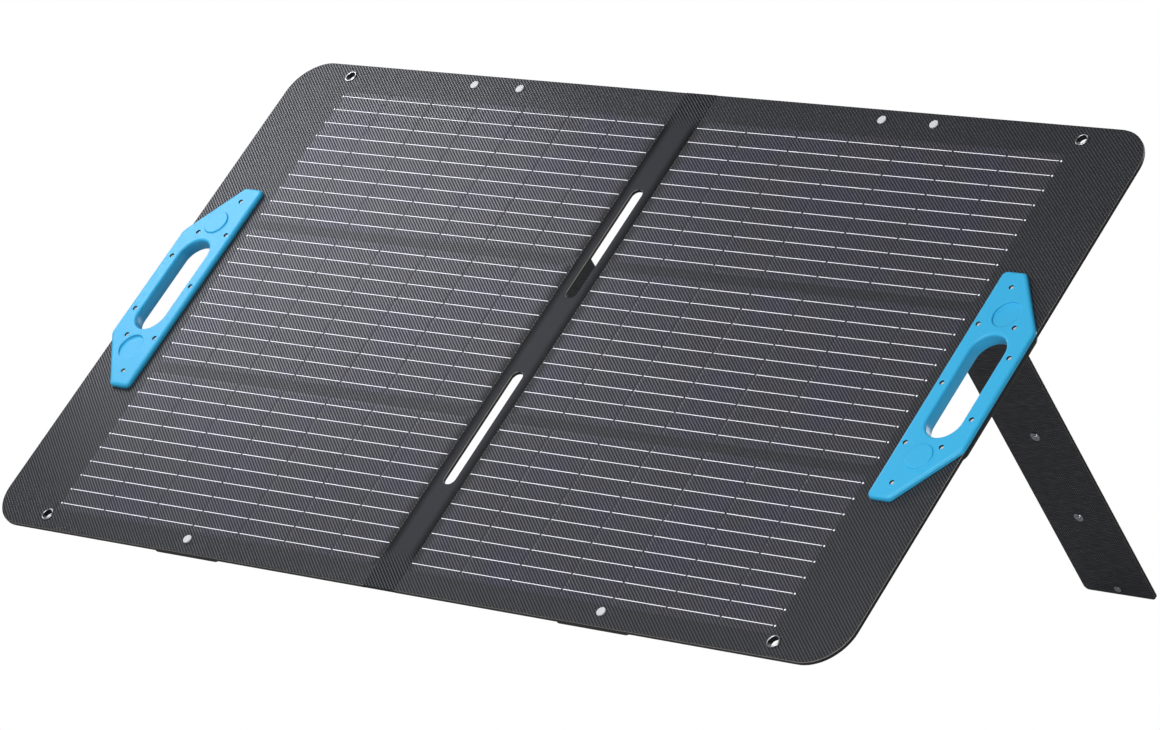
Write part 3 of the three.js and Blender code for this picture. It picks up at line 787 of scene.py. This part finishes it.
# A half's outline moved inwards by an inset and closed on itself.
def insetPath(side, inset):
    ring = turnedWay(halfOutline(side, -inset, layers["innerX"] + inset), False)
    return np.concatenate([ring, ring[:1]])


# Two rows of stitches side by side round the back cloth.
def makeSeams(sideName, side, thread):
    for index, inset in enumerate(seam["insets"]):
        row = stitchRow(insetPath(side, inset), panel["back"] - seam["sunk"])
        addPiece(f"back_seam_{index}_{sideName}", row, thread, f"{sideName}_half",
                 outward=True)


# Cells under the film, and the tinned lines on them; x runs outwards from the fold.
cells = dict(fieldInner=21.8, width=65.7, columns=7, rowHeight=182, rowPitch=193.3, middle=308.0, gap=0.7,
             front=0.22, slope=2.6, lines=10, linePitch=18.2, lineWidth=0.68, lineGap=2.8, lineBack=0.12,
             lineFront=0.42, lineStart=22.4, lineEnd=478.5, dotX=481.2, dotRadius=0.95)


# Each row's name and the height of its middle.
def cellRows():
    for row, rowName in enumerate(("lower", "middle", "upper")):
        yield rowName, cells["middle"] + (row - 1) * cells["rowPitch"]


# Low tile with wide soft edges, from just inside the film to its own front.
def tile(x0, x1, y0, y1):
    lift, slope = cells["front"], cells["slope"]
    turn = np.linspace(0, 1, 6)
    profile = [(slope + 0.6, -0.3), (0.3, -0.3), (0, -0.25), (0, 0.0)]
    profile += [(slope * t, lift * t * t * (3 - 2 * t)) for t in turn[1:]]
    profile += [(slope + 0.6, lift)]
    return plate([(rectangle(x0, x1, y0, y1, 3, 4), profile)])


# Seven tiles side by side make a row, and three rows a half.
def makeCells(sideName, side, cellFilm):
    for rowName, middle in cellRows():
        low, high = middle - cells["rowHeight"] / 2, middle + cells["rowHeight"] / 2
        parts = []
        for column in range(cells["columns"]):
            x0 = cells["fieldInner"] + column * cells["width"] + cells["gap"] / 2
            ends = sorted((side * x0, side * (x0 + cells["width"] - cells["gap"])))
            parts.append(tile(*ends, low, high))
        addPiece(f"cell_tiles_{rowName}_{sideName}", joined(parts), cellFilm, f"{sideName}_half",
                 [f"cell_row_{rowName}_{sideName}"], 60)


# Thin bar with a pitched top, between two x at height y.
def lineBar(x0, x1, y):
    half, back, front = cells["lineWidth"] / 2, cells["lineBack"], cells["lineFront"]
    section = np.array([(-half, back), (-half, front - 0.08), (-half * 0.4, front), (half * 0.4, front),
                        (half, front - 0.08), (half, back)])
    count = len(section)
    points = np.concatenate([np.column_stack([np.full(count, x), y + section[:, 0], section[:, 1]])
                             for x in (x0, x1)])
    faces = gridFaces(2, count, closeColumns=True).tolist()
    faces += [list(range(count))[::-1], [count + i for i in range(count)]]
    return points, faces, points[:, :2] * mm


# Ten lines to a row, each broken at the joints between cells, with a dot past its outer end.
def makeLines(sideName, side, tin):
    breaks = [cells["fieldInner"] + cells["width"] * column for column in range(1, cells["columns"])]
    starts = [cells["lineStart"]] + [x + cells["lineGap"] / 2 for x in breaks]
    ends = [x - cells["lineGap"] / 2 for x in breaks] + [cells["lineEnd"]]
    for rowName, middle in cellRows():
        heights = middle + (np.arange(cells["lines"]) - (cells["lines"] - 1) / 2) * cells["linePitch"]
        parts = []
        for y in heights:
            for start, end in zip(starts, ends):
                parts.append(lineBar(*sorted((side * start, side * end)), y))
            parts.append(disc(side * cells["dotX"], y, cells["dotRadius"], cells["lineBack"] - 0.2,
                              cells["lineFront"], 0.1, sides=10))
        addPiece(f"cell_lines_{rowName}_{sideName}", joined(parts), tin, f"{sideName}_half",
                 outward=True)


# Folding strip: one cloth piece over the fold, with the two slots.
fold = dict(slotWidth=14.5, slotLength=140, slotOffset=117, edge=0.9, columns=14, across=20.3, bendHalf=16)


# Slot half width at height y: round ends, straight between, nought outside.
def slotHalf(y):
    radius, rise = fold["slotWidth"] / 2, fold["slotLength"] / 2 - fold["slotWidth"] / 2
    away = np.abs(np.abs(y - panel["height"] / 2) - fold["slotOffset"])
    beyond = np.clip(away - rise, 0, radius)
    return np.sqrt(np.maximum(radius * radius - beyond * beyond, 0))


# Even steps up the strip, and closer ones where a slot's round ends begin.
def foldHeights():
    mid, reach, radius = panel["height"] / 2, fold["slotLength"] / 2, fold["slotWidth"] / 2
    marks = [np.linspace(0, panel["height"], 60)]
    for centre in (mid - fold["slotOffset"], mid + fold["slotOffset"]):
        bend = radius * (1 - np.cos(np.linspace(0, math.pi / 2, 9)))
        marks += [centre - reach + bend, centre + reach - bend]
    heights = np.unique(np.round(np.concatenate(marks), 4))
    return heights[np.concatenate([[True], np.diff(heights) > 0.05])]


# Half strip: a closed loop round its thickness at each height, open where the halves share the middle.
def halfStrip(side):
    heights = foldHeights()
    inner = slotHalf(heights)
    edge = np.minimum(fold["edge"], inner)
    front, back = 0.0, panel["back"]
    share = np.linspace(1, 0, fold["columns"])
    quarter = np.linspace(0, math.pi / 2, 4)[1:-1]
    loop = [(inner + edge + (fold["across"] - inner - edge) * s, np.full_like(inner, front)) for s in share]
    loop += [(inner + edge * (1 - math.sin(t)), front - edge * (1 - math.cos(t))) for t in quarter]
    loop += [(inner, front - edge), (inner, back + edge)]
    loop += [(inner + edge * (1 - math.cos(t)), back + edge * (1 - math.sin(t))) for t in quarter]
    loop += [(inner + edge + (fold["across"] - inner - edge) * s, np.full_like(inner, back))
             for s in share[::-1]]
    x = np.stack([pair[0] for pair in loop], 1)
    z = np.stack([pair[1] for pair in loop], 1)
    y = np.broadcast_to(heights[:, None], x.shape)
    points = np.stack([side * x, y, z], -1).reshape(-1, 3)
    faces = gridFaces(len(heights), len(loop), closeColumns=True)
    flat = inner < 1e-6
    wallStart, wallEnd = fold["columns"] - 1, len(loop) - fold["columns"]
    row, column = faces[:, 0] // len(loop), faces[:, 0] % len(loop)
    shared = flat[row] & flat[row + 1] & (column >= wallStart) & (column < wallEnd)
    ends = [list(range(len(loop))), [len(points) - len(loop) + i for i in range(len(loop))][::-1]]
    return points, faces[~shared].tolist() + ends, points[:, :2] * mm


# Both half strips merged along the middle.
def makeFold(cloth, paleEdgeAndHighlight):
    points, faces, _ = joined([halfStrip(-1), halfStrip(1)])
    strip = addPiece("fold_cloth", cleaned(points, faces), cloth, sharp=40, outward=True,
                     replaces=["fold_strip_left", "fold_strip_right"])
    facing = faceValues(strip, "normal") @ outOfFace
    # The rounded front rims at the slots are painted pale: a painted highlight.
    paintFaces(strip, (facing > 0.25) & (facing < 0.93), paleEdgeAndHighlight)  # the rounded rims on the front
    mid = panel["height"] / 2
    tuple(onPanel([(-fold["bendHalf"], mid, 0)])[0])
    tuple(onPanel([(fold["bendHalf"], mid, 0)])[0])
    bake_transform(strip)


# Handles: x as on the right half; screws are [x from the inner edge, y from the middle].
handle = dict(innerX=497.0, width=74.5, halfLength=133.5, gripHalf=70, endFlat=26.5, corner=6, back=0.32,
              front=5.5, slotX=532.8, slotWidth=40, slotLength=120, collar=2.5, collarBack=-8.8, lip=2.4,
              edge=3.1, bossX=530.0, bossY=84, bossRadius=14.2, bossProud=1.5, recessRadius=14.9,
              recessDepth=2, plateFront=-4.32, plateInset=3, screwRadius=2.6, screwDepth=2.3,
              screws=[(8, 0), (8, 70), (8, -70), (20, 115), (20, -115), (50.3, 70), (50.3, -70), (64.6, 36),
                      (64.6, -36)])


# Six corners, rounded: a long inner side, two sloping ends and a shorter outer side.
def handleOutline(side, inset=0.0):
    mid = panel["height"] / 2
    inner, outer = handle["innerX"] + inset, handle["innerX"] + handle["width"] - inset
    flat, end = handle["innerX"] + handle["endFlat"] - inset / 2, handle["halfLength"] - inset
    grip, r = handle["gripHalf"] - inset / 2, handle["corner"]
    corners = [(inner, mid - end, r), (flat, mid - end, r), (outer, mid - grip, 2 * r),
               (outer, mid + grip, 2 * r), (flat, mid + end, r), (inner, mid + end, r)]
    return outline([(side * x, y, radius) for x, y, radius in corners], 8)


# Front shell: softly rounded edges, finger slot with its collar, one raised boss, one recess, screw holes.
def makeHandle(sideName, side, blue, black, steel, shade):
    mid, front = panel["height"] / 2, handle["front"]
    low = handle["collarBack"]
    shell = roundedEdge(handle["back"], front, 0.4, handle["edge"], 6, 0.6)
    turn = np.linspace(0, math.pi / 2, 7)
    wall, lip = handle["collar"], handle["lip"]
    collar = [(wall, handle["back"]), (wall, low + 0.5), (wall - 0.5, low), (0.6, low), (0, low + 0.6)]
    collar += [(lip * (1 - math.cos(t)), front - lip * (1 - math.sin(t))) for t in turn]
    collar.append((lip + 0.6, front))
    slot = slotOutline(side * handle["slotX"], mid, handle["slotWidth"], handle["slotLength"], 32)
    blind = []
    for end in (-1, 1):
        centre = (side * handle["bossX"], mid + end * handle["bossY"])
        if end == -side:
            top = front + handle["bossProud"]
            profile = [(-1.5, top), (-0.9, top), (-0.45, top - 0.12), (-0.12, top - 0.45), (0, top - 0.9),
                       (0.1, front + 0.3), (0.4, front), (0.9, front)]
            blind.append((circle(*centre, handle["bossRadius"], 48), profile))
        else:
            floor = front - handle["recessDepth"]
            profile = [(-1.2, floor), (-0.5, floor), (-0.12, floor + 0.12), (0, floor + 0.5),
                       (0, front - 0.6), (0.18, front - 0.18), (0.6, front), (1.1, front)]
            blind.append((circle(*centre, handle["recessRadius"], 48), profile))
    spots = [(side * (handle["innerX"] + x), mid + y) for x, y in handle["screws"]]
    for x, y in spots:
        floor = front - handle["screwDepth"]
        profile = [(0, floor), (0, front - 0.3), (0.1, front - 0.1), (0.3, front), (0.6, front)]
        blind.append((circle(x, y, handle["screwRadius"], 20), profile))
    shellPart = plate([(handleOutline(side), shell), (slot, collar)], blind)
    piece = addPiece(f"handle_shell_{sideName}", shellPart, blue, f"{sideName}_half",
                     [f"handle_front_{sideName}"], 50)
    # Painted shade: the screw-hole walls take the near-black coat.
    paintBores(piece, spots, handle["screwRadius"] + 0.1, shade, front - 0.4)

    floor = front - handle["screwDepth"]
    heads = [disc(x, y, handle["screwRadius"] - 0.1, floor + 0.02, floor + 0.35, 0.15, 0.1, sides=20)
             for x, y in spots]
    addPiece(f"handle_screws_{sideName}", joined(heads), steel, f"{sideName}_half")

    hole = slotOutline(side * handle["slotX"], mid, handle["slotWidth"] + 2 * handle["collar"] + 0.6,
                       handle["slotLength"] + 2 * handle["collar"] + 0.6, 32)
    rear = plate([(handleOutline(side, handle["plateInset"]),
                   roundedEdge(low, handle["plateFront"], 1.4, 0.2, 5, 0.6)),
                  (hole, roundedEdge(low, handle["plateFront"], 0.3, 0.1, 2, 0.4))])
    addPiece(f"handle_rear_{sideName}", rear, black, f"{sideName}_half", [f"handle_back_{sideName}"],
             50)


eyelet = dict(bore=5.0, tube=5.8, flange=7.2, seat=0.3, proud=0.9, backSeat=-4.3, backProud=0.8)


# Tube rolled over at both ends: half an ellipse of section in front and another behind.
def makeEyelets(sideName, side, steel, shade):
    bore, tube, flange = eyelet["bore"], eyelet["tube"], eyelet["flange"]
    front, back = eyelet["seat"], eyelet["backSeat"]
    turn = np.linspace(0, math.pi, 10)
    rise, fall = eyelet["proud"], eyelet["backProud"]
    middle, half = (bore + flange) / 2, (flange - bore) / 2
    curl = [(middle + half * math.cos(t), front + rise * math.sin(t)) for t in turn]
    under = [(middle + half * math.cos(t), back - fall * math.sin(t)) for t in turn[::-1]]
    profile = [(tube, front - 0.2), (flange - 0.1, front - 0.2), *curl, *under,
               (flange - 0.1, back + 0.1), (tube, back + 0.1)]
    for endName, y in (("lower", holes["eyeletInset"]), ("upper", panel["height"] - holes["eyeletInset"])):
        points, _, uv = turnedPart(profile, side * holes["eyeletX"], y, 48)
        faces = gridFaces(len(profile), 48, closeRows=True, closeColumns=True).tolist()
        piece = addPiece(f"eyelet_ring_{endName}_{sideName}", (points, faces, uv), steel, f"{sideName}_half",
                         [f"eyelet_{endName}_{sideName}"], 60, outward=True)
        # Painted shade: the eyelet's bore takes the near-black coat.
        paintBores(piece, [(side * holes["eyeletX"], y)], bore + 0.25, shade)


rivet = dict(head=4.75, shaft=2.25, tail=4.0, seat=0.05, front=1.45, legTabBack=-7.7, bottomTabBack=-7.1,
             tailThickness=0.95)


# Head, shaft and tail turned as one, with a low crowned head.
def rivetPart(x, y, seatBack):
    front, seat, head = rivet["front"], rivet["seat"], rivet["head"]
    back, tail = seatBack - rivet["tailThickness"], rivet["tail"]
    turn = np.linspace(0, math.pi / 2, 5)
    rim = [(head - 0.5 * (1 - math.cos(t)), front - 0.6 + 0.5 * math.sin(t)) for t in turn]
    profile = [(0, back), (tail - 0.4, back), (tail, back + 0.4), (tail, seatBack - 0.05),
               (rivet["shaft"], seatBack - 0.05), (rivet["shaft"], seat), (head, seat)] + rim
    profile += [(head * s, front - 0.1 * s * s) for s in (0.7, 0.35)] + [(0, front)]
    return closedTurn(profile, x, y, 32)


# Two rivets through the leg tab and one through the foot tab.
def makeRivets(sideName, side, lacquer):
    top = panel["height"] - holes["rivetTop"]
    spots = [(f"top_{end}", x, top, rivet["legTabBack"])
             for end, x in zip(("inner", "outer"), holes["rivetPairX"])]
    spots.append(("bottom", holes["rivetBottomX"], holes["rivetBottom"], rivet["bottomTabBack"]))
    for name, x, y, seatBack in spots:
        addPiece(f"rivet_head_{name}_{sideName}", rivetPart(side * x, y, seatBack), lacquer,
                 f"{sideName}_half", [f"rivet_{name}_{sideName}"], 45, outward=True)


snap = dict(disc=5.5, cap=6.0, discThickness=1.3, capThickness=1.0, dome=4.0, front=-3.25, back=-6.75)
leg = dict(centre=274.8, width=92, reach=593.6, swing=joints["left_leg_fold"]["range_deg"][1], hingeY=564.7,
           hingeZ=-6.0, front=-3.25, back=-6.75, tabHigh=621.7, tabLow=580, corner=6, tabCorner=4,
           thickness=3.45, boardStart=14, edge=0.6, bendFrom=(577, -6), bendTo=(569, -17),
           snaps=dict(upper=367.5, middle=481.1, stay=193.6), stud=585)


# Sockets with a round hollow in front and a domed cap behind, and a domed stud at the foot.
def makeSnaps(sideName, steel):
    place = onLeg(sideName)
    front, back = snap["front"], snap["back"]
    bottom = back - snap["capThickness"]
    for name, reach in list(leg["snaps"].items()) + [("stud", leg["stud"])]:
        y = -reach
        if name == "stud":
            parts = [disc(0, y, snap["dome"], front, front + 2.2, 0.7, 1.2, 32),
                     flipped(disc(0, y, snap["dome"], -back, -bottom, 0.4, 0.4, 32))]
            cad = f"foot_stud_{sideName}"
        else:
            top = front + snap["discThickness"]
            socket = [(0, front), (snap["disc"], front), (snap["disc"], front + 0.7),
                      (snap["disc"] - 0.5, top), (3.6, top), (3.1, front + 0.75), (2.2, front + 0.7),
                      (1.9, front + 1.2), (0, front + 1.25)]
            parts = [closedTurn(socket, 0, y, 40),
                     flipped(disc(0, y, snap["cap"], -back, -bottom, 0.5, 0.3))]
            cad = f"leg_snap_{name}_{sideName}"
        addPiece(f"snap_{name}_{sideName}", joined(parts), steel, f"{sideName}_leg", [cad], 45,
                 place, outward=True)
    cap = disc(0, -leg["snaps"]["stay"], snap["cap"], 0.1, 1.35, 0.5, 0.3)
    addPiece(f"stay_cap_{sideName}", cap, steel, f"{sideName}_leg", [f"stay_snap_cap_{sideName}"],
             45, place, outward=True)


# The same part looking backwards.
def flipped(part):
    points, faces, uv = part
    points = np.array(points)
    points[:, 2] *= -1
    return points, [list(face)[::-1] for face in faces], uv


# Each leg is one cloth sleeve, from its riveted tab round the hinge to the foot.
# The open leg seen from its side, as [y, z] on the panel's axes: its hinge, its way to the foot, its way up.
def legAxes():
    swing = math.radians(leg["swing"])
    return (np.array([leg["hingeY"], leg["hingeZ"]]), np.array([-math.cos(swing), -math.sin(swing)]),
            np.array([-math.sin(swing), math.cos(swing)]))


# Path of the sleeve as [y, z]: down the tab, round the hinge and along the board to the foot.
def legPath():
    hinge, ahead, off = legAxes()
    middle = (leg["front"] + leg["back"]) / 2
    along = np.linspace(leg["boardStart"], leg["reach"], 60)
    onBoard = [hinge + ahead * reach + off * middle for reach in along]
    onTab = [np.array([y, leg["hingeZ"]]) for y in np.linspace(leg["tabHigh"], leg["tabLow"], 12)]
    bend = bezier(onTab[-1], onTab[-1] + (-9.5, 0), onBoard[0] - ahead * 9.5, onBoard[0], 16)
    return np.concatenate([onTab[:-1], bend[:-1], onBoard])


# Cubic curve from a to d, pulled towards b and then c.
def bezier(a, b, c, d, count):
    t = np.linspace(0, 1, count)[:, None]
    return a * (1 - t) ** 3 + 3 * b * t * (1 - t) ** 2 + 3 * c * t * t * (1 - t) + d * t ** 3


# How far a corner of radius r pulls an edge in, at a distance from the end.
def cornerPull(distance, r):
    inside = np.clip(r - distance, 0, r)
    return r - np.sqrt(np.maximum(r * r - inside * inside, 0))


# Band swept along a path of [y, z] with a rounded-rectangle section and rounded ends.
def sweptBand(path, centreX, width, thickness, startRadius, endRadius, edge):
    steps = np.linalg.norm(np.diff(path, axis=0), axis=1)
    run = np.concatenate([[0], np.cumsum(steps)])
    nearEnd = np.array([0.15, 0.6, 1.2, 2.5, 4, 6])
    marks = np.unique(np.concatenate([run, nearEnd, run[-1] - nearEnd]))
    path = np.stack([np.interp(marks, run, path[:, k]) for k in (0, 1)], -1)
    ahead = np.gradient(path, marks, axis=0)
    ahead /= np.linalg.norm(ahead, axis=1)[:, None]
    off = np.stack([ahead[:, 1], -ahead[:, 0]], -1)
    half = width / 2 - cornerPull(marks, startRadius) - cornerPull(marks[-1] - marks, endRadius)
    thin = thickness / 2 - cornerPull(marks, edge) - cornerPull(marks[-1] - marks, edge)
    quarter = np.linspace(0, math.pi / 2, 4)
    corner = [(-edge * (1 - math.cos(t)), -edge * (1 - math.sin(t))) for t in quarter]
    inner = np.array([-0.92, -0.6, -0.3, 0, 0.3, 0.6, 0.92])
    loop = [(k, 0, 1, 0) for k in inner]
    loop += [(1, a, 1, b) for a, b in corner[::-1]] + [(1, a, -1, -b) for a, b in corner]
    loop += [(k, 0, -1, 0) for k in inner[::-1]]
    loop += [(-1, -a, -1, -b) for a, b in corner[::-1]] + [(-1, -a, 1, b) for a, b in corner]
    shareX, addX, shareZ, addZ = np.array(loop, float).T
    x = centreX + half[:, None] * shareX + addX
    z = thin[:, None] * shareZ + addZ
    place = path[:, None] + off[:, None] * z[..., None]
    points = np.concatenate([x[..., None], place], -1).reshape(-1, 3)
    count = len(loop)
    faces = gridFaces(len(marks), count, closeColumns=True).tolist()
    faces += [list(range(count))[::-1], [len(points) - count + i for i in range(count)]]
    uv = np.stack([x.ravel(), np.repeat(marks, count)], -1) * mm
    return points, faces, uv


# The sleeve runs from the half it is riveted to round the hinge onto its own leg.
def makeLeg(sideName, side, cloth, coat, paleEdgeAndHighlight):
    x = side * leg["centre"]
    part = sweptBand(legPath(), x, leg["width"], leg["thickness"], leg["tabCorner"], leg["corner"],
                     leg["edge"])
    sleeve = addPiece(f"leg_sleeve_{sideName}", part, cloth, sharp=40, outward=True,
                      replaces=[f"leg_{sideName}", f"leg_tab_{sideName}"])
    sideways = np.abs(faceValues(sleeve, "normal")[:, 0])
    # The rounded rims between the coated side walls and the faces are painted pale: a painted highlight.
    kinds = np.where(sideways > 0.8, 1, np.where(sideways > 0.55, 2, 0))  # coated wall, pale rim, cloth
    paintFaces(sleeve, kinds, coat, paleEdgeAndHighlight)
    tuple(onPanel([(x, *leg["bendFrom"])])[0])
    tuple(onPanel([(x, *leg["bendTo"])])[0])
    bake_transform(sleeve)


tab = dict(height=50, width=92, corner=4, front=-4.32, back=-7.1)


# Flat tab over the lower edge, with soft edges and one rivet hole.
def makeTab(sideName, side, cloth):
    x, half = side * leg["centre"], tab["width"] / 2
    ring = rectangle(x - half, x + half, 0, tab["height"], tab["corner"])
    hole = circle(side * holes["rivetBottomX"], holes["rivetBottom"], holes["rivet"], 24)
    part = plate([(ring, roundedEdge(tab["back"], tab["front"], 0.7, 0.5, 3, 0.6)),
                  (hole, [(0, tab["back"]), (0, tab["front"])])])
    addPiece(f"foot_tab_{sideName}", part, cloth, f"{sideName}_half", [f"bottom_tab_{sideName}"],
             50)


# Webbing stays, sewn at the bottom tab and snapped to the leg.
stay = dict(width=25, thickness=1.4, sewnLow=27, sewnHigh=49, sewnZ=-8.1, legZ=-0.95, endHalf=14,
            squashAt=-7.16, keep=0.003)


# Strap sewn flat on the foot tab, straight up to the leg and flat under its snap.
def makeStay(sideName, side, webbing):
    hinge, ahead, off = legAxes()
    reach = leg["snaps"]["stay"]
    ends = (reach + stay["endHalf"], reach - stay["endHalf"])
    top = [hinge + ahead * r + off * stay["legZ"] for r in ends]
    sewn = [np.array([stay[end], stay["sewnZ"]]) for end in ("sewnLow", "sewnHigh")]
    # From the leg's end of the strap the run leaves square to the leg's lower side.
    run = top[1] - sewn[1]
    run /= np.linalg.norm(run)
    low = bezier(sewn[1], sewn[1] + (7, 0), sewn[1] + (8, 0) + run * 8, sewn[1] + run * 24, 10)
    high = bezier(top[1] - run * 24, top[1] - run * 8, top[1] - ahead * 7, top[1], 10)
    path = np.concatenate([np.linspace(sewn[0], sewn[1], 5)[:-1], low[:-1],
                           np.linspace(low[-1], high[0], 16)[:-1], high[:-1],
                           np.linspace(top[1], top[0], 6)])
    part = sweptBand(path, side * leg["centre"], stay["width"], stay["thickness"], 1.5, 1.5, 0.35)
    strap = addPiece(f"webbing_stay_{sideName}", part, webbing, f"{sideName}_half",
                     [f"stay_strap_{sideName}"], 40, outward=True)
    tuple(onPanel([(side * leg["centre"], 40, stay["squashAt"])])[0])
    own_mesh(strap)


# Junction box on the back of the left half, and the socket in its side wall.
box = dict(x=-130, y=500, width=96, height=60, front=-4.32, back=-20.3, lidBack=-23.1, corner=6,
           socketZ=-12.3, flange=7, bore=4, outer=5.5, wallX=-82, screwX=40, screwY=22, screwRadius=2.6)


# Tray with a splayed foot, lid with a soft edge, four screws, and a turned socket.
def makeJunctionBox(black, steel):
    halfX, halfY = box["width"] / 2, box["height"] / 2
    ring = rectangle(box["x"] - halfX, box["x"] + halfX, box["y"] - halfY, box["y"] + halfY, box["corner"])
    tray = [(2.0, box["back"]), (0.3, box["back"]), (0, box["back"] + 0.3), (0, box["front"] - 1.6),
            (-0.8, box["front"] - 0.6), (-1.6, box["front"]), (3, box["front"])]
    addPiece("junction_tray", plate([(ring, tray)]), black, "left_half",
             ["junction_box", "bypass_diode_board"], 50)
    lid = roundedEdge(box["lidBack"], box["back"] - 0.3, 1.6, 0.3, 5, 0.8)
    addPiece("junction_lid", plate([(ring, lid)]), black, "left_half", ["junction_box_lid"],
             50)
    seat = -box["lidBack"]
    heads = [flipped(disc(box["x"] + a * box["screwX"], box["y"] + b * box["screwY"], box["screwRadius"],
                          seat - 0.2, seat + 0.9, 0.4, 0.4, 24)) for a in (-1, 1) for b in (-1, 1)]
    addPiece("junction_screws", joined(heads), steel, "left_half", outward=True)

    flange, bore, outer = box["flange"], box["bore"], box["outer"]
    profile = [(0, -14), (outer, -14), (outer, 0.3), (flange, 0.3), (flange, 1.9), (flange - 0.4, 2.3),
               (bore + 0.4, 2.3), (bore, 1.9), (bore, -9), (1.0, -9), (1.0, 0), (0.6, 0.4), (0, 0.4)]
    points, faces, uv = closedTurn(profile, 0, 0, 40)
    turned = points[:, [2, 0, 1]] + (box["wallX"], box["y"], box["socketZ"])  # looks along the panel
    addPiece("power_socket", (turned, faces, uv), black, "left_half", ["output_socket"], 45,
             outward=True)


makeCamera()
makeLights()
makeFloor()
print("camera, lights and floor")

film, cellFilm, tin = makeFilm(), makeCellFilm(), makeTin()
foldCloth, backCloth, legCloth = makeFoldCloth(), makeBackCloth(), makeLegCloth()
coatAndBoreShade, paleEdgeAndHighlight, blue, black = makeCoatAndBoreShade(), makePaleEdgeAndHighlight(), makeBlue(), makeBlack()
nickel = makeSteel("nickelPlatedSteel", "#a6a9ad", 0.3)
lacquer = makeLacquer()
satin = makeSteel("satinSteel", "#c8cbcf", 0.36)
webbing, thread, board, glassFibre = makeWebbing(), makeThread(), makeBoard(), makeGlassFibre()
print("materials")

for sideName, side in sides:
    makeFront(sideName, side, film, paleEdgeAndHighlight)
    makeRim(sideName, side, coatAndBoreShade)
    makeBack(sideName, side, backCloth)
    makeSeams(sideName, side, thread)
    makeCells(sideName, side, cellFilm)
    makeLines(sideName, side, tin)
    makeHandle(sideName, side, blue, black, lacquer, coatAndBoreShade)
    makeEyelets(sideName, side, nickel, coatAndBoreShade)
    makeRivets(sideName, side, lacquer)
    makeLeg(sideName, side, legCloth, coatAndBoreShade, paleEdgeAndHighlight)
    makeTab(sideName, side, legCloth)
    makeSnaps(sideName, satin)
    makeStay(sideName, side, webbing)
    print(sideName, "half")
makeFold(foldCloth, paleEdgeAndHighlight)
makeJunctionBox(black, nickel)
# The modelled parts that stay in sight or inside keep their shape and take their own material.
for name, node in frame["nodes"].items():
    kind = next((m for key, m in (("magnet", satin), ("stiffener", glassFibre), ("ribbon", tin),
                                  ("diode", board)) if key in name), black)
    if not node.hide_render:
        node.data.materials.clear()
        node.data.materials.append(kind)
